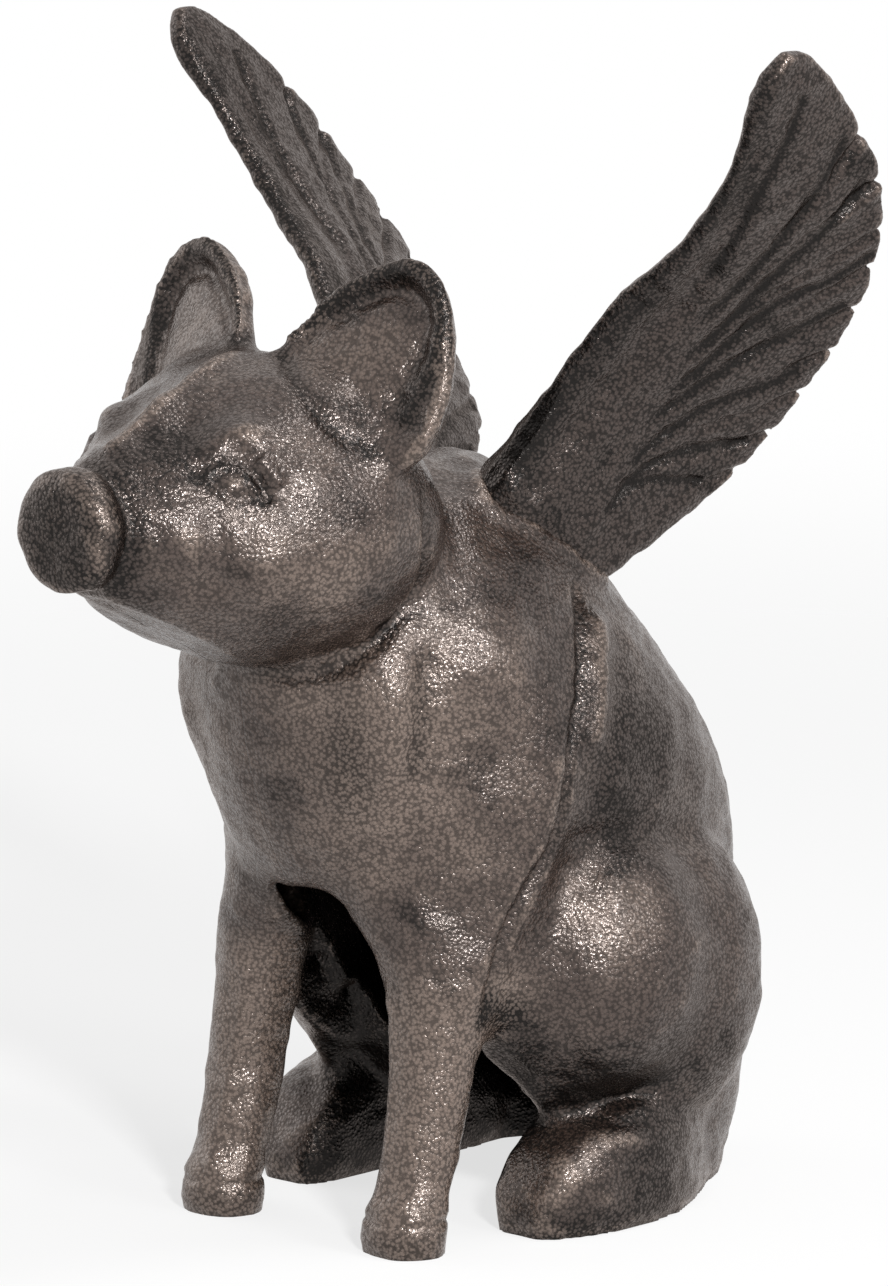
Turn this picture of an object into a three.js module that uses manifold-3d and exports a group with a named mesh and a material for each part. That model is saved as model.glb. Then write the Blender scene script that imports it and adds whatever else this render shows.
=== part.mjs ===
// A winged, sitting pig cast in two hollow iron halves that stand open at the floor.
// Units are millimetres, +Z is up, the pig faces -Y and its left side is +X.
// Every sculpted form is a stack of oval sections, written as shares of that form's own box.

import * as THREE from 'three';
import { mergeVertices } from 'three/addons/utils/BufferGeometryUtils.js';
import Module from 'manifold-3d';

const wasm = await Module();
wasm.setup();

// Casting
const WALL = 4.8;
const SEAT_GAP = 0.3;

// Trunk, a sitting barrel from the floor to the top of the back
const TRUNK_HEIGHT = 148;
const TRUNK_WIDTH = 86;
const TRUNK_LENGTH = 130;
const CHEST_REACH = 20;

// Head, from the nose disc to the neck
const HEAD_LENGTH = 84;
const HEAD_WIDTH = 71;
const HEAD_HEIGHT = 58;
const NOSE_REACH = 65.5;
const NOSE_HEIGHT = 143;
const NOSE_SOLID_SHARE = 0.2;

// Ears
const EAR_WIDTH = 42;
const EAR_HEIGHT = 44;
const EAR_CUP_DEPTH = 14;
const EAR_THICKNESS = 5;
const EAR_YAW = 15;
const EAR_LEAN = 20;
const EAR_SPACING = 50;
const EAR_BACK_SHARE = 0.423;
const EAR_RISE_SHARE = 0.42;
const EAR_CUP_WIDE = 0.64;
const EAR_CUP_TALL = 0.74;
const EAR_CUP_OUT = 0.02;
const EAR_CUP_UP = 0.13;

// Eyes
const EYE_WIDTH = 8.4;
const EYE_HEIGHT = 5.6;
const EYE_SPACING = 40;
const EYE_RISE = 7.5;
const EYE_BACK = 27;

// Fore legs and shoulders
const SHOULDER_HEIGHT = 118;
const SHOULDER_WIDTH = 43;
const SHOULDER_LENGTH = 41;
const SHOULDER_REACH = 8;
const LEG_SOLID_SHARE = 0.42;

// Haunches and hind feet
const HAUNCH_DEPTH = 53;
const HAUNCH_LENGTH = 58;
const HAUNCH_HEIGHT = 72;
const HAUNCH_YAW = 45;
const HAUNCH_SPACING = 43.5;
const HAUNCH_BACK = 63.5;
const HAUNCH_LIFT = 45;
const FOOT_WIDTH = 23;
const FOOT_LENGTH = 60;
const FOOT_HEIGHT = 24.5;
const FOOT_ROUND = 0.56;
const FOOT_INSET = 23;
const FOOT_BACK = 24;

// Open belly between the fore legs and the hind feet
const BELLY_FRONT_HEIGHT = 67;
const BELLY_SIDE_HEIGHT = 41;
const BELLY_EDGE_BACK = 30;
const BELLY_BACK = 54;

// Wings
const WING_SPREAD = 59;
const WING_CHORD = 60;
const WING_RISE = 81;
const WING_ROOT_OUT = 22;
const WING_ROOT_BACK = 31;
const WING_THICKNESS = 5.2;
const WING_ROOT_THICKNESS = 15;
const WING_ROOT_SHARE = 0.3;
const WING_THIN_CHORD = 30;
const WING_THIN_SHARE = 0.35;
const FEATHER_GROOVE_WIDTH = 2.4;
const FEATHER_GROOVE_DEPTH = 0.8;
const FEATHER_GROOVE_END_SHARE = 0.985;
const FEATHER_NICK = 2.2;
const FEATHER_NICK_START_SHARE = 0.955;

// Screws that hold a wing from inside the hollow
const WING_SCREW = 4;
const WING_SCREW_HEAD = 8;
const WING_SCREW_HEAD_HEIGHT = 2.6;
const WING_SCREW_GRIP = 11;
const WING_SCREW_LENGTH = 22;
const WING_SCREW_SHARES = [0.4, 0.76];
const WASHER_WIDTH = 9.5;
const WASHER_THICKNESS = 1;
const PAD_WIDTH = 13;

// Screws that draw the two halves together
const HALF_SCREW = 6;
const HALF_SCREW_HEAD = 11;
const HALF_SCREW_HEAD_HEIGHT = 3;
const HALF_SCREW_SINK = 0.6;
const HALF_SCREW_BITE = 15;
const BOSS_WIDTH = 14;
const SHOULDER_SCREW_BACK = 32;
const SHOULDER_SCREW_HEIGHT = 110;
const RUMP_SCREW_BACK = 62;
const RUMP_SCREW_HEIGHT = 56;
const SLOT_WIDTH = 1.2;
const SLOT_DEPTH = 1.1;

// Trunk sections: share of height, half width, front, back
const TRUNK_SECTIONS = [
  [0, 0.375, 0.419, 0.948],
  [0.081, 0.394, 0.415, 0.982],
  [0.203, 0.407, 0.4, 1],
  [0.297, 0.401, 0.265, 1],
  [0.385, 0.413, 0.185, 0.996],
  [0.446, 0.436, 0.12, 0.99],
  [0.52, 0.465, 0.072, 0.966],
  [0.642, 0.477, 0.028, 0.886],
  [0.757, 0.436, 0.008, 0.776],
  [0.885, 0.343, 0.038, 0.648],
  [0.959, 0.233, 0.138, 0.562],
  [1, 0.081, 0.262, 0.492],
];

// Head sections: share of length from the nose, half width, rise above and drop below the nose line
const HEAD_SECTIONS = [
  [0, 0.149, 0.179, 0.179],
  [0.011, 0.175, 0.21, 0.214],
  [0.042, 0.18, 0.217, 0.228],
  [0.089, 0.169, 0.203, 0.224],
  [0.149, 0.192, 0.217, 0.266],
  [0.232, 0.268, 0.276, 0.352],
  [0.339, 0.359, 0.362, 0.438],
  [0.482, 0.458, 0.457, 0.505],
  [0.625, 0.5, 0.5, 0.522],
  [0.744, 0.479, 0.457, 0.491],
  [0.839, 0.43, 0.362, 0.457],
  [0.923, 0.352, 0.233, 0.397],
  [0.976, 0.261, 0.121, 0.328],
  [1, 0.169, 0.052, 0.241],
];

// Fore leg sections: share of height, inner side, outer side, front, back, sweep back toward the outside
const LEG_SECTIONS = [
  [0, 0.381, 0.781, 0.037, 0.398, 0],
  [0.042, 0.367, 0.8, 0.015, 0.415, 0],
  [0.076, 0.386, 0.779, 0.041, 0.42, 0],
  [0.097, 0.405, 0.763, 0.098, 0.449, 0],
  [0.169, 0.402, 0.76, 0.156, 0.517, 0],
  [0.271, 0.402, 0.767, 0.21, 0.59, 0],
  [0.381, 0.363, 0.786, 0.244, 0.671, 0.1],
  [0.466, 0.293, 0.86, 0.232, 0.768, 0.25],
  [0.525, 0.186, 0.902, 0.207, 0.817, 0.38],
  [0.576, 0.079, 0.926, 0.195, 0.854, 0.46],
  [0.661, 0, 0.965, 0.22, 0.927, 0.52],
  [0.78, 0.116, 0.986, 0.293, 1, 0.52],
  [0.881, 0.256, 0.963, 0.39, 0.976, 0.5],
  [0.958, 0.372, 0.86, 0.512, 0.854, 0.45],
  [1, 0.465, 0.721, 0.585, 0.78, 0.4],
];

// Hind foot sections: share of length, inner side, outer side, height
const FOOT_SECTIONS = [
  [0, 0.2, 0.6, 0.22],
  [0.02, 0.1, 0.72, 0.4],
  [0.07, 0.03, 0.82, 0.58],
  [0.14, 0, 0.9, 0.74],
  [0.24, 0, 0.97, 0.88],
  [0.36, 0, 1, 0.97],
  [0.5, 0, 0.97, 1],
  [0.64, 0, 0.86, 0.97],
  [0.78, 0.02, 0.66, 0.9],
  [0.9, 0.06, 0.44, 0.78],
  [1, 0.12, 0.26, 0.6],
];

// Ear outline: share of width outward and share of height upward from the ear's middle
const EAR_OUTLINE = [
  [-0.47, 0.14],
  [-0.2, 0.43],
  [0.02, 0.57],
  [0.15, 0.61],
  [0.27, 0.565],
  [0.365, 0.45],
  [0.425, 0.28],
  [0.45, 0.07],
  [0.425, -0.13],
  [0.34, -0.28],
  [0.19, -0.37],
  [-0.2, -0.32],
  [-0.44, -0.06],
];

// Wing edges from root to tip: leading edge out, back, up, then trailing edge out, back, up
const WING_SECTIONS = [
  [-0.16, -0.05, -0.12, -0.14, 0.285, -0.37],
  [-0.03, 0, 0.01, 0.05, 0.435, -0.285],
  [0.04, 0.045, 0.09, 0.135, 0.7, -0.165],
  [0.12, 0.09, 0.185, 0.24, 0.905, -0.03],
  [0.2, 0.13, 0.28, 0.425, 0.96, 0.135],
  [0.335, 0.185, 0.405, 0.59, 0.99, 0.3],
  [0.51, 0.225, 0.505, 0.74, 0.945, 0.46],
  [0.655, 0.24, 0.615, 0.84, 0.865, 0.585],
  [0.775, 0.225, 0.725, 0.905, 0.765, 0.71],
  [0.87, 0.185, 0.835, 0.94, 0.605, 0.835],
  [0.95, 0.165, 0.93, 0.975, 0.455, 0.93],
  [1, 0.215, 0.995, 1, 0.315, 0.995],
];

// Wing section: share of the chord, share of the half thickness
const WING_SECTION_OUTLINE = [
  [0, 0],
  [0.03, 0.7],
  [0.12, 1],
  [0.3, 0.95],
  [0.62, 0.8],
  [0.93, 0.5],
  [1, 0.25],
];

// Lines between the feathers: start along the span and the chord, end along the span, bend
const FEATHER_GROOVES = [
  [0.5, 0.36, 0.79, 2.2],
  [0.455, 0.38, 0.705, 2.2],
  [0.41, 0.4, 0.615, 1.6],
  [0.385, 0.42, 0.545, 1.3],
  [0.35, 0.44, 0.483, 1.1],
  [0.31, 0.48, 0.424, 0.9],
  [0.262, 0.5, 0.366, 0.8],
  [0.215, 0.5, 0.31, 0.7],
  [0.215, 0.8, 0.257, 0.65],
];

const IRON = { color: 0x3d332d, roughness: 0.55, metalness: 0.55 };
const DARK_IRON = { color: 0x352d29, roughness: 0.55, metalness: 0.55 };
const SCREW_STEEL = { color: 0x4a4642, roughness: 0.45, metalness: 0.85 };

// Facets: the outside is finer than the hollow, which is hardly seen.
const OUTER_SIDES = 40;
const HOLLOW_SIDES = 20;
const ROUND_SIDES = 16;

const v3 = (x, y, z) => new THREE.Vector3(x, y, z);

function toSolid(geometry) {
  const bare = geometry.index ? geometry.toNonIndexed() : geometry.clone();
  bare.deleteAttribute('normal');
  bare.deleteAttribute('uv');
  const merged = mergeVertices(bare, 1e-4);
  const mesh = new wasm.Mesh({
    numProp: 3,
    vertProperties: new Float32Array(merged.attributes.position.array),
    triVerts: new Uint32Array(merged.index.array),
  });
  return new wasm.Manifold(mesh);
}

function toGeometry(solid) {
  const mesh = solid.getMesh();
  const geometry = new THREE.BufferGeometry();
  geometry.setAttribute('position', new THREE.BufferAttribute(new Float32Array(mesh.vertProperties), 3));
  geometry.setIndex(new THREE.BufferAttribute(new Uint32Array(mesh.triVerts), 1));
  geometry.computeVertexNormals();
  return geometry;
}

function mirrored(geometry) {
  const flipped = geometry.clone().scale(-1, 1, 1);
  const index = flipped.index.array;
  for (let i = 0; i < index.length; i += 3) {
    const keep = index[i];
    index[i] = index[i + 1];
    index[i + 1] = keep;
  }
  flipped.computeVertexNormals();
  return flipped;
}

// Closed skin through rings of equal length, with a fan over each end.
function skin(rings) {
  const count = rings[0].length;
  const points = rings.flat();
  const triangles = [];
  for (let r = 0; r + 1 < rings.length; r += 1) {
    for (let i = 0; i < count; i += 1) {
      const a = r * count + i;
      const b = r * count + ((i + 1) % count);
      triangles.push(a, b, b + count, a, b + count, a + count);
    }
  }
  const addEnd = (ring, flip) => {
    const centre = rings[ring].reduce((sum, p) => sum.add(p), v3(0, 0, 0)).divideScalar(count);
    points.push(centre);
    for (let i = 0; i < count; i += 1) {
      const a = ring * count + i;
      const b = ring * count + ((i + 1) % count);
      triangles.push(...(flip ? [b, a, points.length - 1] : [a, b, points.length - 1]));
    }
  };
  addEnd(0, true);
  addEnd(rings.length - 1, false);
  const geometry = new THREE.BufferGeometry().setFromPoints(points);
  geometry.setIndex(triangles);
  return geometry;
}

// Smooth values between the rows of a section table.
function sectionsThrough(rows, steps) {
  const width = rows[0].length - 1;
  const positions = rows.map((row) => row[0]);
  const curve = new THREE.CubicInterpolant(positions, rows.flatMap((row) => row.slice(1)), width);
  const spread = new Set(positions);
  for (let i = 0; i <= steps; i += 1) {
    const at = i / steps;
    if (positions.every((p) => Math.abs(p - at) > 0.6 / steps)) {
      spread.add(at);
    }
  }
  return [...spread].sort((a, b) => a - b).map((at) => [at, ...curve.evaluate(at)]);
}

// Oval ring in the plane of two axes, given its low and high sides on each.
function oval(low1, high1, low2, high2, sides, place) {
  const ring = [];
  for (let i = 0; i < sides; i += 1) {
    const turn = (i / sides) * 2 * Math.PI;
    const a = (low1 + high1) / 2 + ((high1 - low1) / 2) * Math.cos(turn);
    const b = (low2 + high2) / 2 + ((high2 - low2) / 2) * Math.sin(turn);
    ring.push(place(a, b));
  }
  return ring;
}

// Keeps a shrunken section from turning inside out.
function shrunk(low, high, grow) {
  const half = Math.max((high - low) / 2 + grow, 1);
  const middle = (low + high) / 2;
  return [middle - half, middle + half];
}

// Trunk grown by the given amount; a shrunken trunk runs out through the floor.
function trunkForm(grow) {
  const top = TRUNK_HEIGHT + grow;
  const rings = sectionsThrough(TRUNK_SECTIONS, grow < 0 ? 1 : 14).map(([up, half, front, back], i) => {
    const [left, right] = shrunk(-half * TRUNK_WIDTH, half * TRUNK_WIDTH, grow);
    const [fore, aft] = shrunk(front * TRUNK_LENGTH - CHEST_REACH, back * TRUNK_LENGTH - CHEST_REACH, grow);
    const z = i === 0 ? -Math.abs(grow) : up * top;
    const sides = grow < 0 ? HOLLOW_SIDES : OUTER_SIDES;
    return oval(left, right, fore, aft, sides, (x, y) => v3(x, y, z));
  });
  return toSolid(skin(rings));
}

// Head along Y; the nose end of a shrunken head stays solid.
function headForm(grow) {
  const start = grow < 0 ? NOSE_SOLID_SHARE : 0;
  const rows = sectionsThrough(HEAD_SECTIONS, grow < 0 ? 1 : 10).filter(([along]) => along >= start);
  const rings = rows.map(([along, half, rise, drop]) => {
    const [left, right] = shrunk(-half * HEAD_WIDTH, half * HEAD_WIDTH, grow);
    const [low, high] = shrunk(NOSE_HEIGHT - drop * HEAD_HEIGHT, NOSE_HEIGHT + rise * HEAD_HEIGHT, grow);
    const y = along * (HEAD_LENGTH + Math.min(grow, 0)) - NOSE_REACH;
    const sides = grow < 0 ? HOLLOW_SIDES : OUTER_SIDES;
    return oval(left, right, low, high, sides, (x, z) => v3(x, y, z)).reverse();
  });
  return toSolid(skin(rings));
}

// Left fore leg and shoulder; a shrunken one starts above the solid lower leg.
function legForm(grow) {
  const start = grow < 0 ? LEG_SOLID_SHARE : 0;
  const rows = sectionsThrough(LEG_SECTIONS, grow < 0 ? 1 : 10).filter(([up]) => up >= start);
  const rings = rows.map(([up, inner, outer, front, back, sweep]) => {
    const middle = ((inner + outer) / 2) * SHOULDER_WIDTH;
    const [left, right] = shrunk(inner * SHOULDER_WIDTH, outer * SHOULDER_WIDTH, grow);
    const fore = front * SHOULDER_LENGTH - SHOULDER_REACH;
    const aft = back * SHOULDER_LENGTH - SHOULDER_REACH;
    const [low, high] = shrunk(fore, aft, grow);
    const z = up * (SHOULDER_HEIGHT + Math.min(grow, 0));
    const sides = grow < 0 ? HOLLOW_SIDES : OUTER_SIDES * 0.5;
    return oval(left, right, low, high, sides, (x, y) => v3(x, y + sweep * (x - middle), z));
  });
  return toSolid(skin(rings));
}

function haunchForm(grow) {
  const sides = grow < 0 ? HOLLOW_SIDES : OUTER_SIDES * 0.7;
  const ball = new THREE.SphereGeometry(1, sides, sides / 2);
  ball.scale(HAUNCH_DEPTH / 2 + grow, HAUNCH_LENGTH / 2 + grow, HAUNCH_HEIGHT / 2 + grow);
  ball.rotateZ(-THREE.MathUtils.degToRad(HAUNCH_YAW));
  ball.translate(HAUNCH_SPACING / 2, HAUNCH_BACK, HAUNCH_LIFT);
  return toSolid(ball);
}

// Left hind foot: flat underneath and on its inner side, rounded on top, tapering back along the rump.
function footForm() {
  const rings = sectionsThrough(FOOT_SECTIONS, 10).map(([along, inner, outer, height]) => {
    const square = (value) => Math.sign(value) * Math.sqrt(Math.abs(value));
    const middle = (inner + outer) / 2;
    const y = FOOT_BACK + FOOT_LENGTH * along;
    return oval(-1, 1, -1, 1, OUTER_SIDES * 0.5, (a, b) => v3(
      FOOT_INSET + FOOT_WIDTH * (middle + ((outer - inner) / 2) * square(a)),
      y,
      Math.max(0, FOOT_HEIGHT * height * (1 - FOOT_ROUND + FOOT_ROUND * square(b))),
    )).reverse();
  });
  return toSolid(skin(rings));
}

// Opens the inner side of a haunch to the belly.
function haunchOpening() {
  const yaw = THREE.MathUtils.degToRad(HAUNCH_YAW);
  const length = Math.hypot((HAUNCH_DEPTH / 2) * Math.sin(yaw), (HAUNCH_LENGTH / 2) * Math.cos(yaw));
  const drum = new THREE.CylinderGeometry(1, 1, HAUNCH_SPACING, HOLLOW_SIDES);
  drum.rotateZ(Math.PI / 2);
  drum.scale(1, length - WALL, HAUNCH_HEIGHT / 2 - WALL);
  drum.translate(0, HAUNCH_BACK, HAUNCH_LIFT);
  return toSolid(drum);
}

// Left eye, a low bead in the side of the head.
function eyeForm() {
  const bead = new THREE.SphereGeometry(1, ROUND_SIDES, ROUND_SIDES / 2);
  bead.scale(EYE_HEIGHT / 2, EYE_WIDTH / 2, EYE_HEIGHT / 2);
  bead.rotateZ(-Math.PI / 5);
  bead.translate(EYE_SPACING / 2, EYE_BACK - NOSE_REACH, NOSE_HEIGHT + EYE_RISE);
  return toSolid(bead);
}

// Left ear: a cup with the thickness of its casting, trimmed to a leaf outline.
function earForm() {
  const outline = new THREE.Shape();
  const points = EAR_OUTLINE.map(([out, up]) => new THREE.Vector2(out * EAR_WIDTH, up * EAR_HEIGHT));
  outline.moveTo(points[0].x, points[0].y);
  outline.splineThru([...points.slice(1), points[0]]);
  const leaf = new THREE.ExtrudeGeometry(outline, {
    depth: 2 * EAR_CUP_DEPTH,
    steps: 1,
    curveSegments: 2,
    bevelEnabled: false,
  });
  const cup = new THREE.SphereGeometry(1, OUTER_SIDES * 0.5, OUTER_SIDES * 0.3);
  cup.scale(EAR_WIDTH * EAR_CUP_WIDE, EAR_HEIGHT * EAR_CUP_TALL, EAR_CUP_DEPTH);
  cup.translate(EAR_WIDTH * EAR_CUP_OUT, EAR_HEIGHT * EAR_CUP_UP, 0);
  const hollow = cup.clone().translate(0, 0, EAR_THICKNESS);
  const back = EAR_CUP_DEPTH - NOSE_REACH + HEAD_LENGTH * EAR_BACK_SHARE;
  const rise = NOSE_HEIGHT + HEAD_HEIGHT * EAR_RISE_SHARE;
  const place = (geometry) => geometry
    .rotateX(Math.PI / 2 - THREE.MathUtils.degToRad(EAR_LEAN))
    .rotateZ(THREE.MathUtils.degToRad(EAR_YAW))
    .translate(EAR_SPACING / 2, back, rise);
  leaf.translate(0, 0, -2 * EAR_CUP_DEPTH);
  const solid = toSolid(place(cup)).subtract(toSolid(place(hollow)));
  return solid.intersect(toSolid(place(leaf)));
}

// Space below the belly, drawn from the side and cut across the whole width.
function bellyCut() {
  const edge = new THREE.Shape();
  edge.moveTo(-TRUNK_LENGTH, -WALL);
  edge.lineTo(-TRUNK_LENGTH, BELLY_FRONT_HEIGHT);
  edge.lineTo(0, BELLY_FRONT_HEIGHT);
  edge.quadraticCurveTo(BELLY_EDGE_BACK * 0.8, BELLY_FRONT_HEIGHT, BELLY_EDGE_BACK, BELLY_SIDE_HEIGHT);
  edge.lineTo(BELLY_BACK, BELLY_SIDE_HEIGHT);
  edge.lineTo(BELLY_BACK, -WALL);
  const cut = new THREE.ExtrudeGeometry(edge, {
    depth: 2 * TRUNK_WIDTH,
    steps: 1,
    curveSegments: 8,
    bevelEnabled: false,
  });
  cut.translate(0, 0, -TRUNK_WIDTH);
  cut.rotateX(Math.PI / 2).rotateZ(Math.PI / 2);
  return toSolid(cut);
}

// Everything on the left of the parting plane.
function leftSpace() {
  const size = 4 * TRUNK_LENGTH;
  const box = new THREE.BoxGeometry(size, size, size);
  box.translate(size / 2 + SEAT_GAP / 2, 0, 0);
  return toSolid(box);
}

// Bar of round section between two points.
function bar(from, to, width) {
  const along = to.clone().sub(from);
  const geometry = new THREE.CylinderGeometry(width / 2, width / 2, along.length(), ROUND_SIDES);
  geometry.translate(0, along.length() / 2, 0);
  geometry.applyQuaternion(new THREE.Quaternion().setFromUnitVectors(v3(0, 1, 0), along.normalize()));
  geometry.translate(from.x, from.y, from.z);
  return toSolid(geometry);
}

// Left wing's edges, chord, normal and half thickness at a share of its span.
function wingStation(t) {
  const root = v3(WING_ROOT_OUT, WING_ROOT_BACK, TRUNK_HEIGHT);
  const place = (out, back, up) => v3(out * WING_SPREAD, back * WING_CHORD, up * WING_RISE).add(root);
  const leading = new THREE.CatmullRomCurve3(WING_SECTIONS.map((s) => place(s[0], s[1], s[2])));
  const trailing = new THREE.CatmullRomCurve3(WING_SECTIONS.map((s) => place(s[3], s[4], s[5])));
  const lead = leading.getPoint(t);
  const chord = trailing.getPoint(t).sub(lead);
  const span = leading.getTangent(t).add(trailing.getTangent(t));
  const normal = chord.clone().cross(span).normalize();
  const rooted = Math.max(0, 1 - t / WING_ROOT_SHARE);
  const thick = WING_THICKNESS + (WING_ROOT_THICKNESS - WING_THICKNESS) * rooted;
  const half = (thick / 2) * Math.min(1, WING_THIN_SHARE + chord.length() / WING_THIN_CHORD);
  return { lead, chord, normal, half };
}

// Point on a face of the left wing, at shares of its span and chord.
function wingPoint({ lead, chord, normal, half }, share, height) {
  return lead.clone().addScaledVector(chord, share).addScaledVector(normal, height * half);
}

// Left wing, from inside the trunk to the tip.
function wingForm() {
  const steps = 22;
  const rings = [];
  for (let i = 0; i <= steps; i += 1) {
    const station = wingStation(i / steps);
    const upper = WING_SECTION_OUTLINE.map(([share, height]) => wingPoint(station, share, height));
    const lower = WING_SECTION_OUTLINE.slice(1).map(([share, height]) => wingPoint(station, share, -height));
    rings.push([...upper, ...lower.reverse()]);
  }
  return toSolid(skin(rings));
}

// Height of the wing's face over its middle at a share of the chord.
function wingFaceHeight(share) {
  const rows = WING_SECTION_OUTLINE;
  const [end] = rows.at(-1);
  const place = Math.min(share, end);
  const next = Math.max(1, rows.findIndex(([at]) => at >= place));
  const [from, low] = rows[next - 1];
  const [to, high] = rows[next];
  return low + ((high - low) * (place - from)) / (to - from);
}

// Three-sided cutter for the line between two feathers, on one face of the left wing.
function featherGroove([spanStart, chordStart, spanEnd, bend], face) {
  const steps = 3;
  const stations = [];
  for (let i = 0; i <= steps; i += 1) {
    const run = i / steps;
    const station = wingStation(spanStart + (spanEnd - spanStart) * run);
    const share = chordStart + (FEATHER_GROOVE_END_SHARE - chordStart) * run ** bend;
    const middle = wingPoint(station, share, face * wingFaceHeight(share));
    stations.push({ middle, normal: station.normal, run });
  }
  const rings = stations.map(({ middle, normal, run }, i) => {
    const ahead = stations[Math.min(i + 1, steps)].middle.clone().sub(stations[Math.max(i - 1, 0)].middle);
    const across = ahead.cross(normal).normalize();
    const deep = FEATHER_GROOVE_DEPTH * (0.5 + 0.5 * run);
    const clear = FEATHER_GROOVE_DEPTH;
    const wide = ((FEATHER_GROOVE_WIDTH / 2) * (0.4 + 0.6 * run) * (deep + clear)) / deep;
    return [[wide, clear], [0, -deep], [-wide, clear]]
      .map(([a, b]) => middle.clone().addScaledVector(across, face * a).addScaledVector(normal, face * b));
  });
  return toSolid(skin(rings));
}

// Wedge for the nick that ends a groove in the trailing edge.
function featherNick([, , spanEnd]) {
  const station = wingStation(spanEnd);
  const across = station.chord.clone().cross(station.normal).normalize();
  const [end] = WING_SECTION_OUTLINE.at(-1);
  const edge = wingPoint(station, end, 0);
  const tip = wingPoint(station, FEATHER_NICK_START_SHARE, 0);
  const mouth = edge.clone().add(edge).sub(tip);
  const corners = [
    tip,
    mouth.clone().addScaledVector(across, FEATHER_NICK),
    mouth.clone().addScaledVector(across, -FEATHER_NICK),
  ];
  const ring = (side) => corners.map((p) => p.clone().addScaledVector(station.normal, side * WING_THICKNESS));
  return toSolid(skin([ring(-1), ring(1)]));
}

// Where and how the screws of the left wing run: out of the hollow and into the wing root.
function wingScrewAxes() {
  const rows = WING_SECTIONS.length - 1;
  const root = wingStation(1 / rows);
  const next = wingStation(3 / rows);
  const along = wingPoint(next, 0.5, 0).sub(wingPoint(root, 0.5, 0)).normalize();
  return WING_SCREW_SHARES.map((share) => ({
    seat: wingPoint(root, share, 0).addScaledVector(along, -WING_SCREW_GRIP),
    along,
  }));
}

// Turned screw along +Y with its bearing face at the origin; grow gives the bore for it.
function panScrew(grow) {
  const head = WING_SCREW_HEAD / 2;
  const shank = WING_SCREW / 2 + grow;
  const tip = WING_SCREW_LENGTH + grow;
  const profile = [
    [0, -WING_SCREW_HEAD_HEIGHT],
    [head * 0.7, -WING_SCREW_HEAD_HEIGHT],
    [head, -WING_SCREW_HEAD_HEIGHT * 0.55],
    [head, 0],
    [shank, 0],
    [shank, tip - WING_SCREW * 0.15],
    [shank * 0.75, tip],
    [0, tip],
  ];
  return new THREE.LatheGeometry(profile.map(([r, y]) => new THREE.Vector2(r, y)), ROUND_SIDES);
}

// Countersunk screw along +Y with its flat head face at the origin.
function flatScrew(length, grow, outward) {
  const head = HALF_SCREW_HEAD / 2 + grow;
  const shank = HALF_SCREW / 2 + grow;
  const tip = length + grow;
  const profile = [
    [0, -outward],
    [head, -outward],
    [head, HALF_SCREW_HEAD_HEIGHT * 0.15],
    [shank, HALF_SCREW_HEAD_HEIGHT],
    [shank, tip - HALF_SCREW * 0.12],
    [shank * 0.8, tip],
    [0, tip],
  ];
  return new THREE.LatheGeometry(profile.map(([r, y]) => new THREE.Vector2(r, y)), ROUND_SIDES);
}

// Slot across a screw head whose outer face is at the given height on +Y.
function slotCut(face, head) {
  const box = new THREE.BoxGeometry(head * 1.5, SLOT_DEPTH * 2, SLOT_WIDTH);
  box.translate(0, face, 0);
  return toSolid(box);
}

function washerForm() {
  const ring = new THREE.Shape().absarc(0, 0, WASHER_WIDTH / 2, 0, 2 * Math.PI, false);
  ring.holes.push(new THREE.Path().absarc(0, 0, WING_SCREW / 2 + SEAT_GAP, 0, 2 * Math.PI, true));
  const washer = new THREE.ExtrudeGeometry(ring, {
    depth: WASHER_THICKNESS,
    steps: 1,
    curveSegments: ROUND_SIDES,
    bevelEnabled: false,
  });
  return washer.rotateX(Math.PI / 2);
}

// Turns a piece drawn along +Y onto an axis and moves its origin to a point.
function aim(geometry, point, along) {
  const turned = geometry.clone();
  turned.applyQuaternion(new THREE.Quaternion().setFromUnitVectors(v3(0, 1, 0), along));
  return turned.translate(point.x, point.y, point.z);
}

// How far out the left side of a shape lies at one height and distance back.
function surfaceOut(geometry, back, height) {
  const caster = new THREE.Raycaster(v3(TRUNK_LENGTH, back, height), v3(-1, 0, 0));
  return caster.intersectObject(new THREE.Mesh(geometry))[0].point.x;
}

const trunk = trunkForm(0);
const figure = trunk.subtract(bellyCut())
  .add(legForm(0))
  .add(haunchForm(0))
  .add(headForm(0))
  .add(earForm())
  .add(eyeForm());
const hollow = trunkForm(-WALL)
  .add(legForm(-WALL))
  .add(haunchForm(-WALL))
  .add(haunchOpening())
  .add(headForm(-WALL));
let leftShell = figure.subtract(hollow).add(footForm());

const wingAxes = wingScrewAxes();
for (const { seat, along } of wingAxes) {
  const through = seat.clone().addScaledVector(along, WING_SCREW_GRIP * 2);
  leftShell = leftShell.add(bar(seat, through, PAD_WIDTH).intersect(trunk));
}
const halfScrews = [
  ['shoulder_screw', SHOULDER_SCREW_BACK, SHOULDER_SCREW_HEIGHT],
  ['rump_screw', RUMP_SCREW_BACK, RUMP_SCREW_HEIGHT],
];
for (const [, back, height] of halfScrews) {
  const boss = bar(v3(0, back, height), v3(TRUNK_WIDTH, back, height), BOSS_WIDTH);
  leftShell = leftShell.add(boss.intersect(figure));
}
leftShell = leftShell.intersect(leftSpace());

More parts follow.
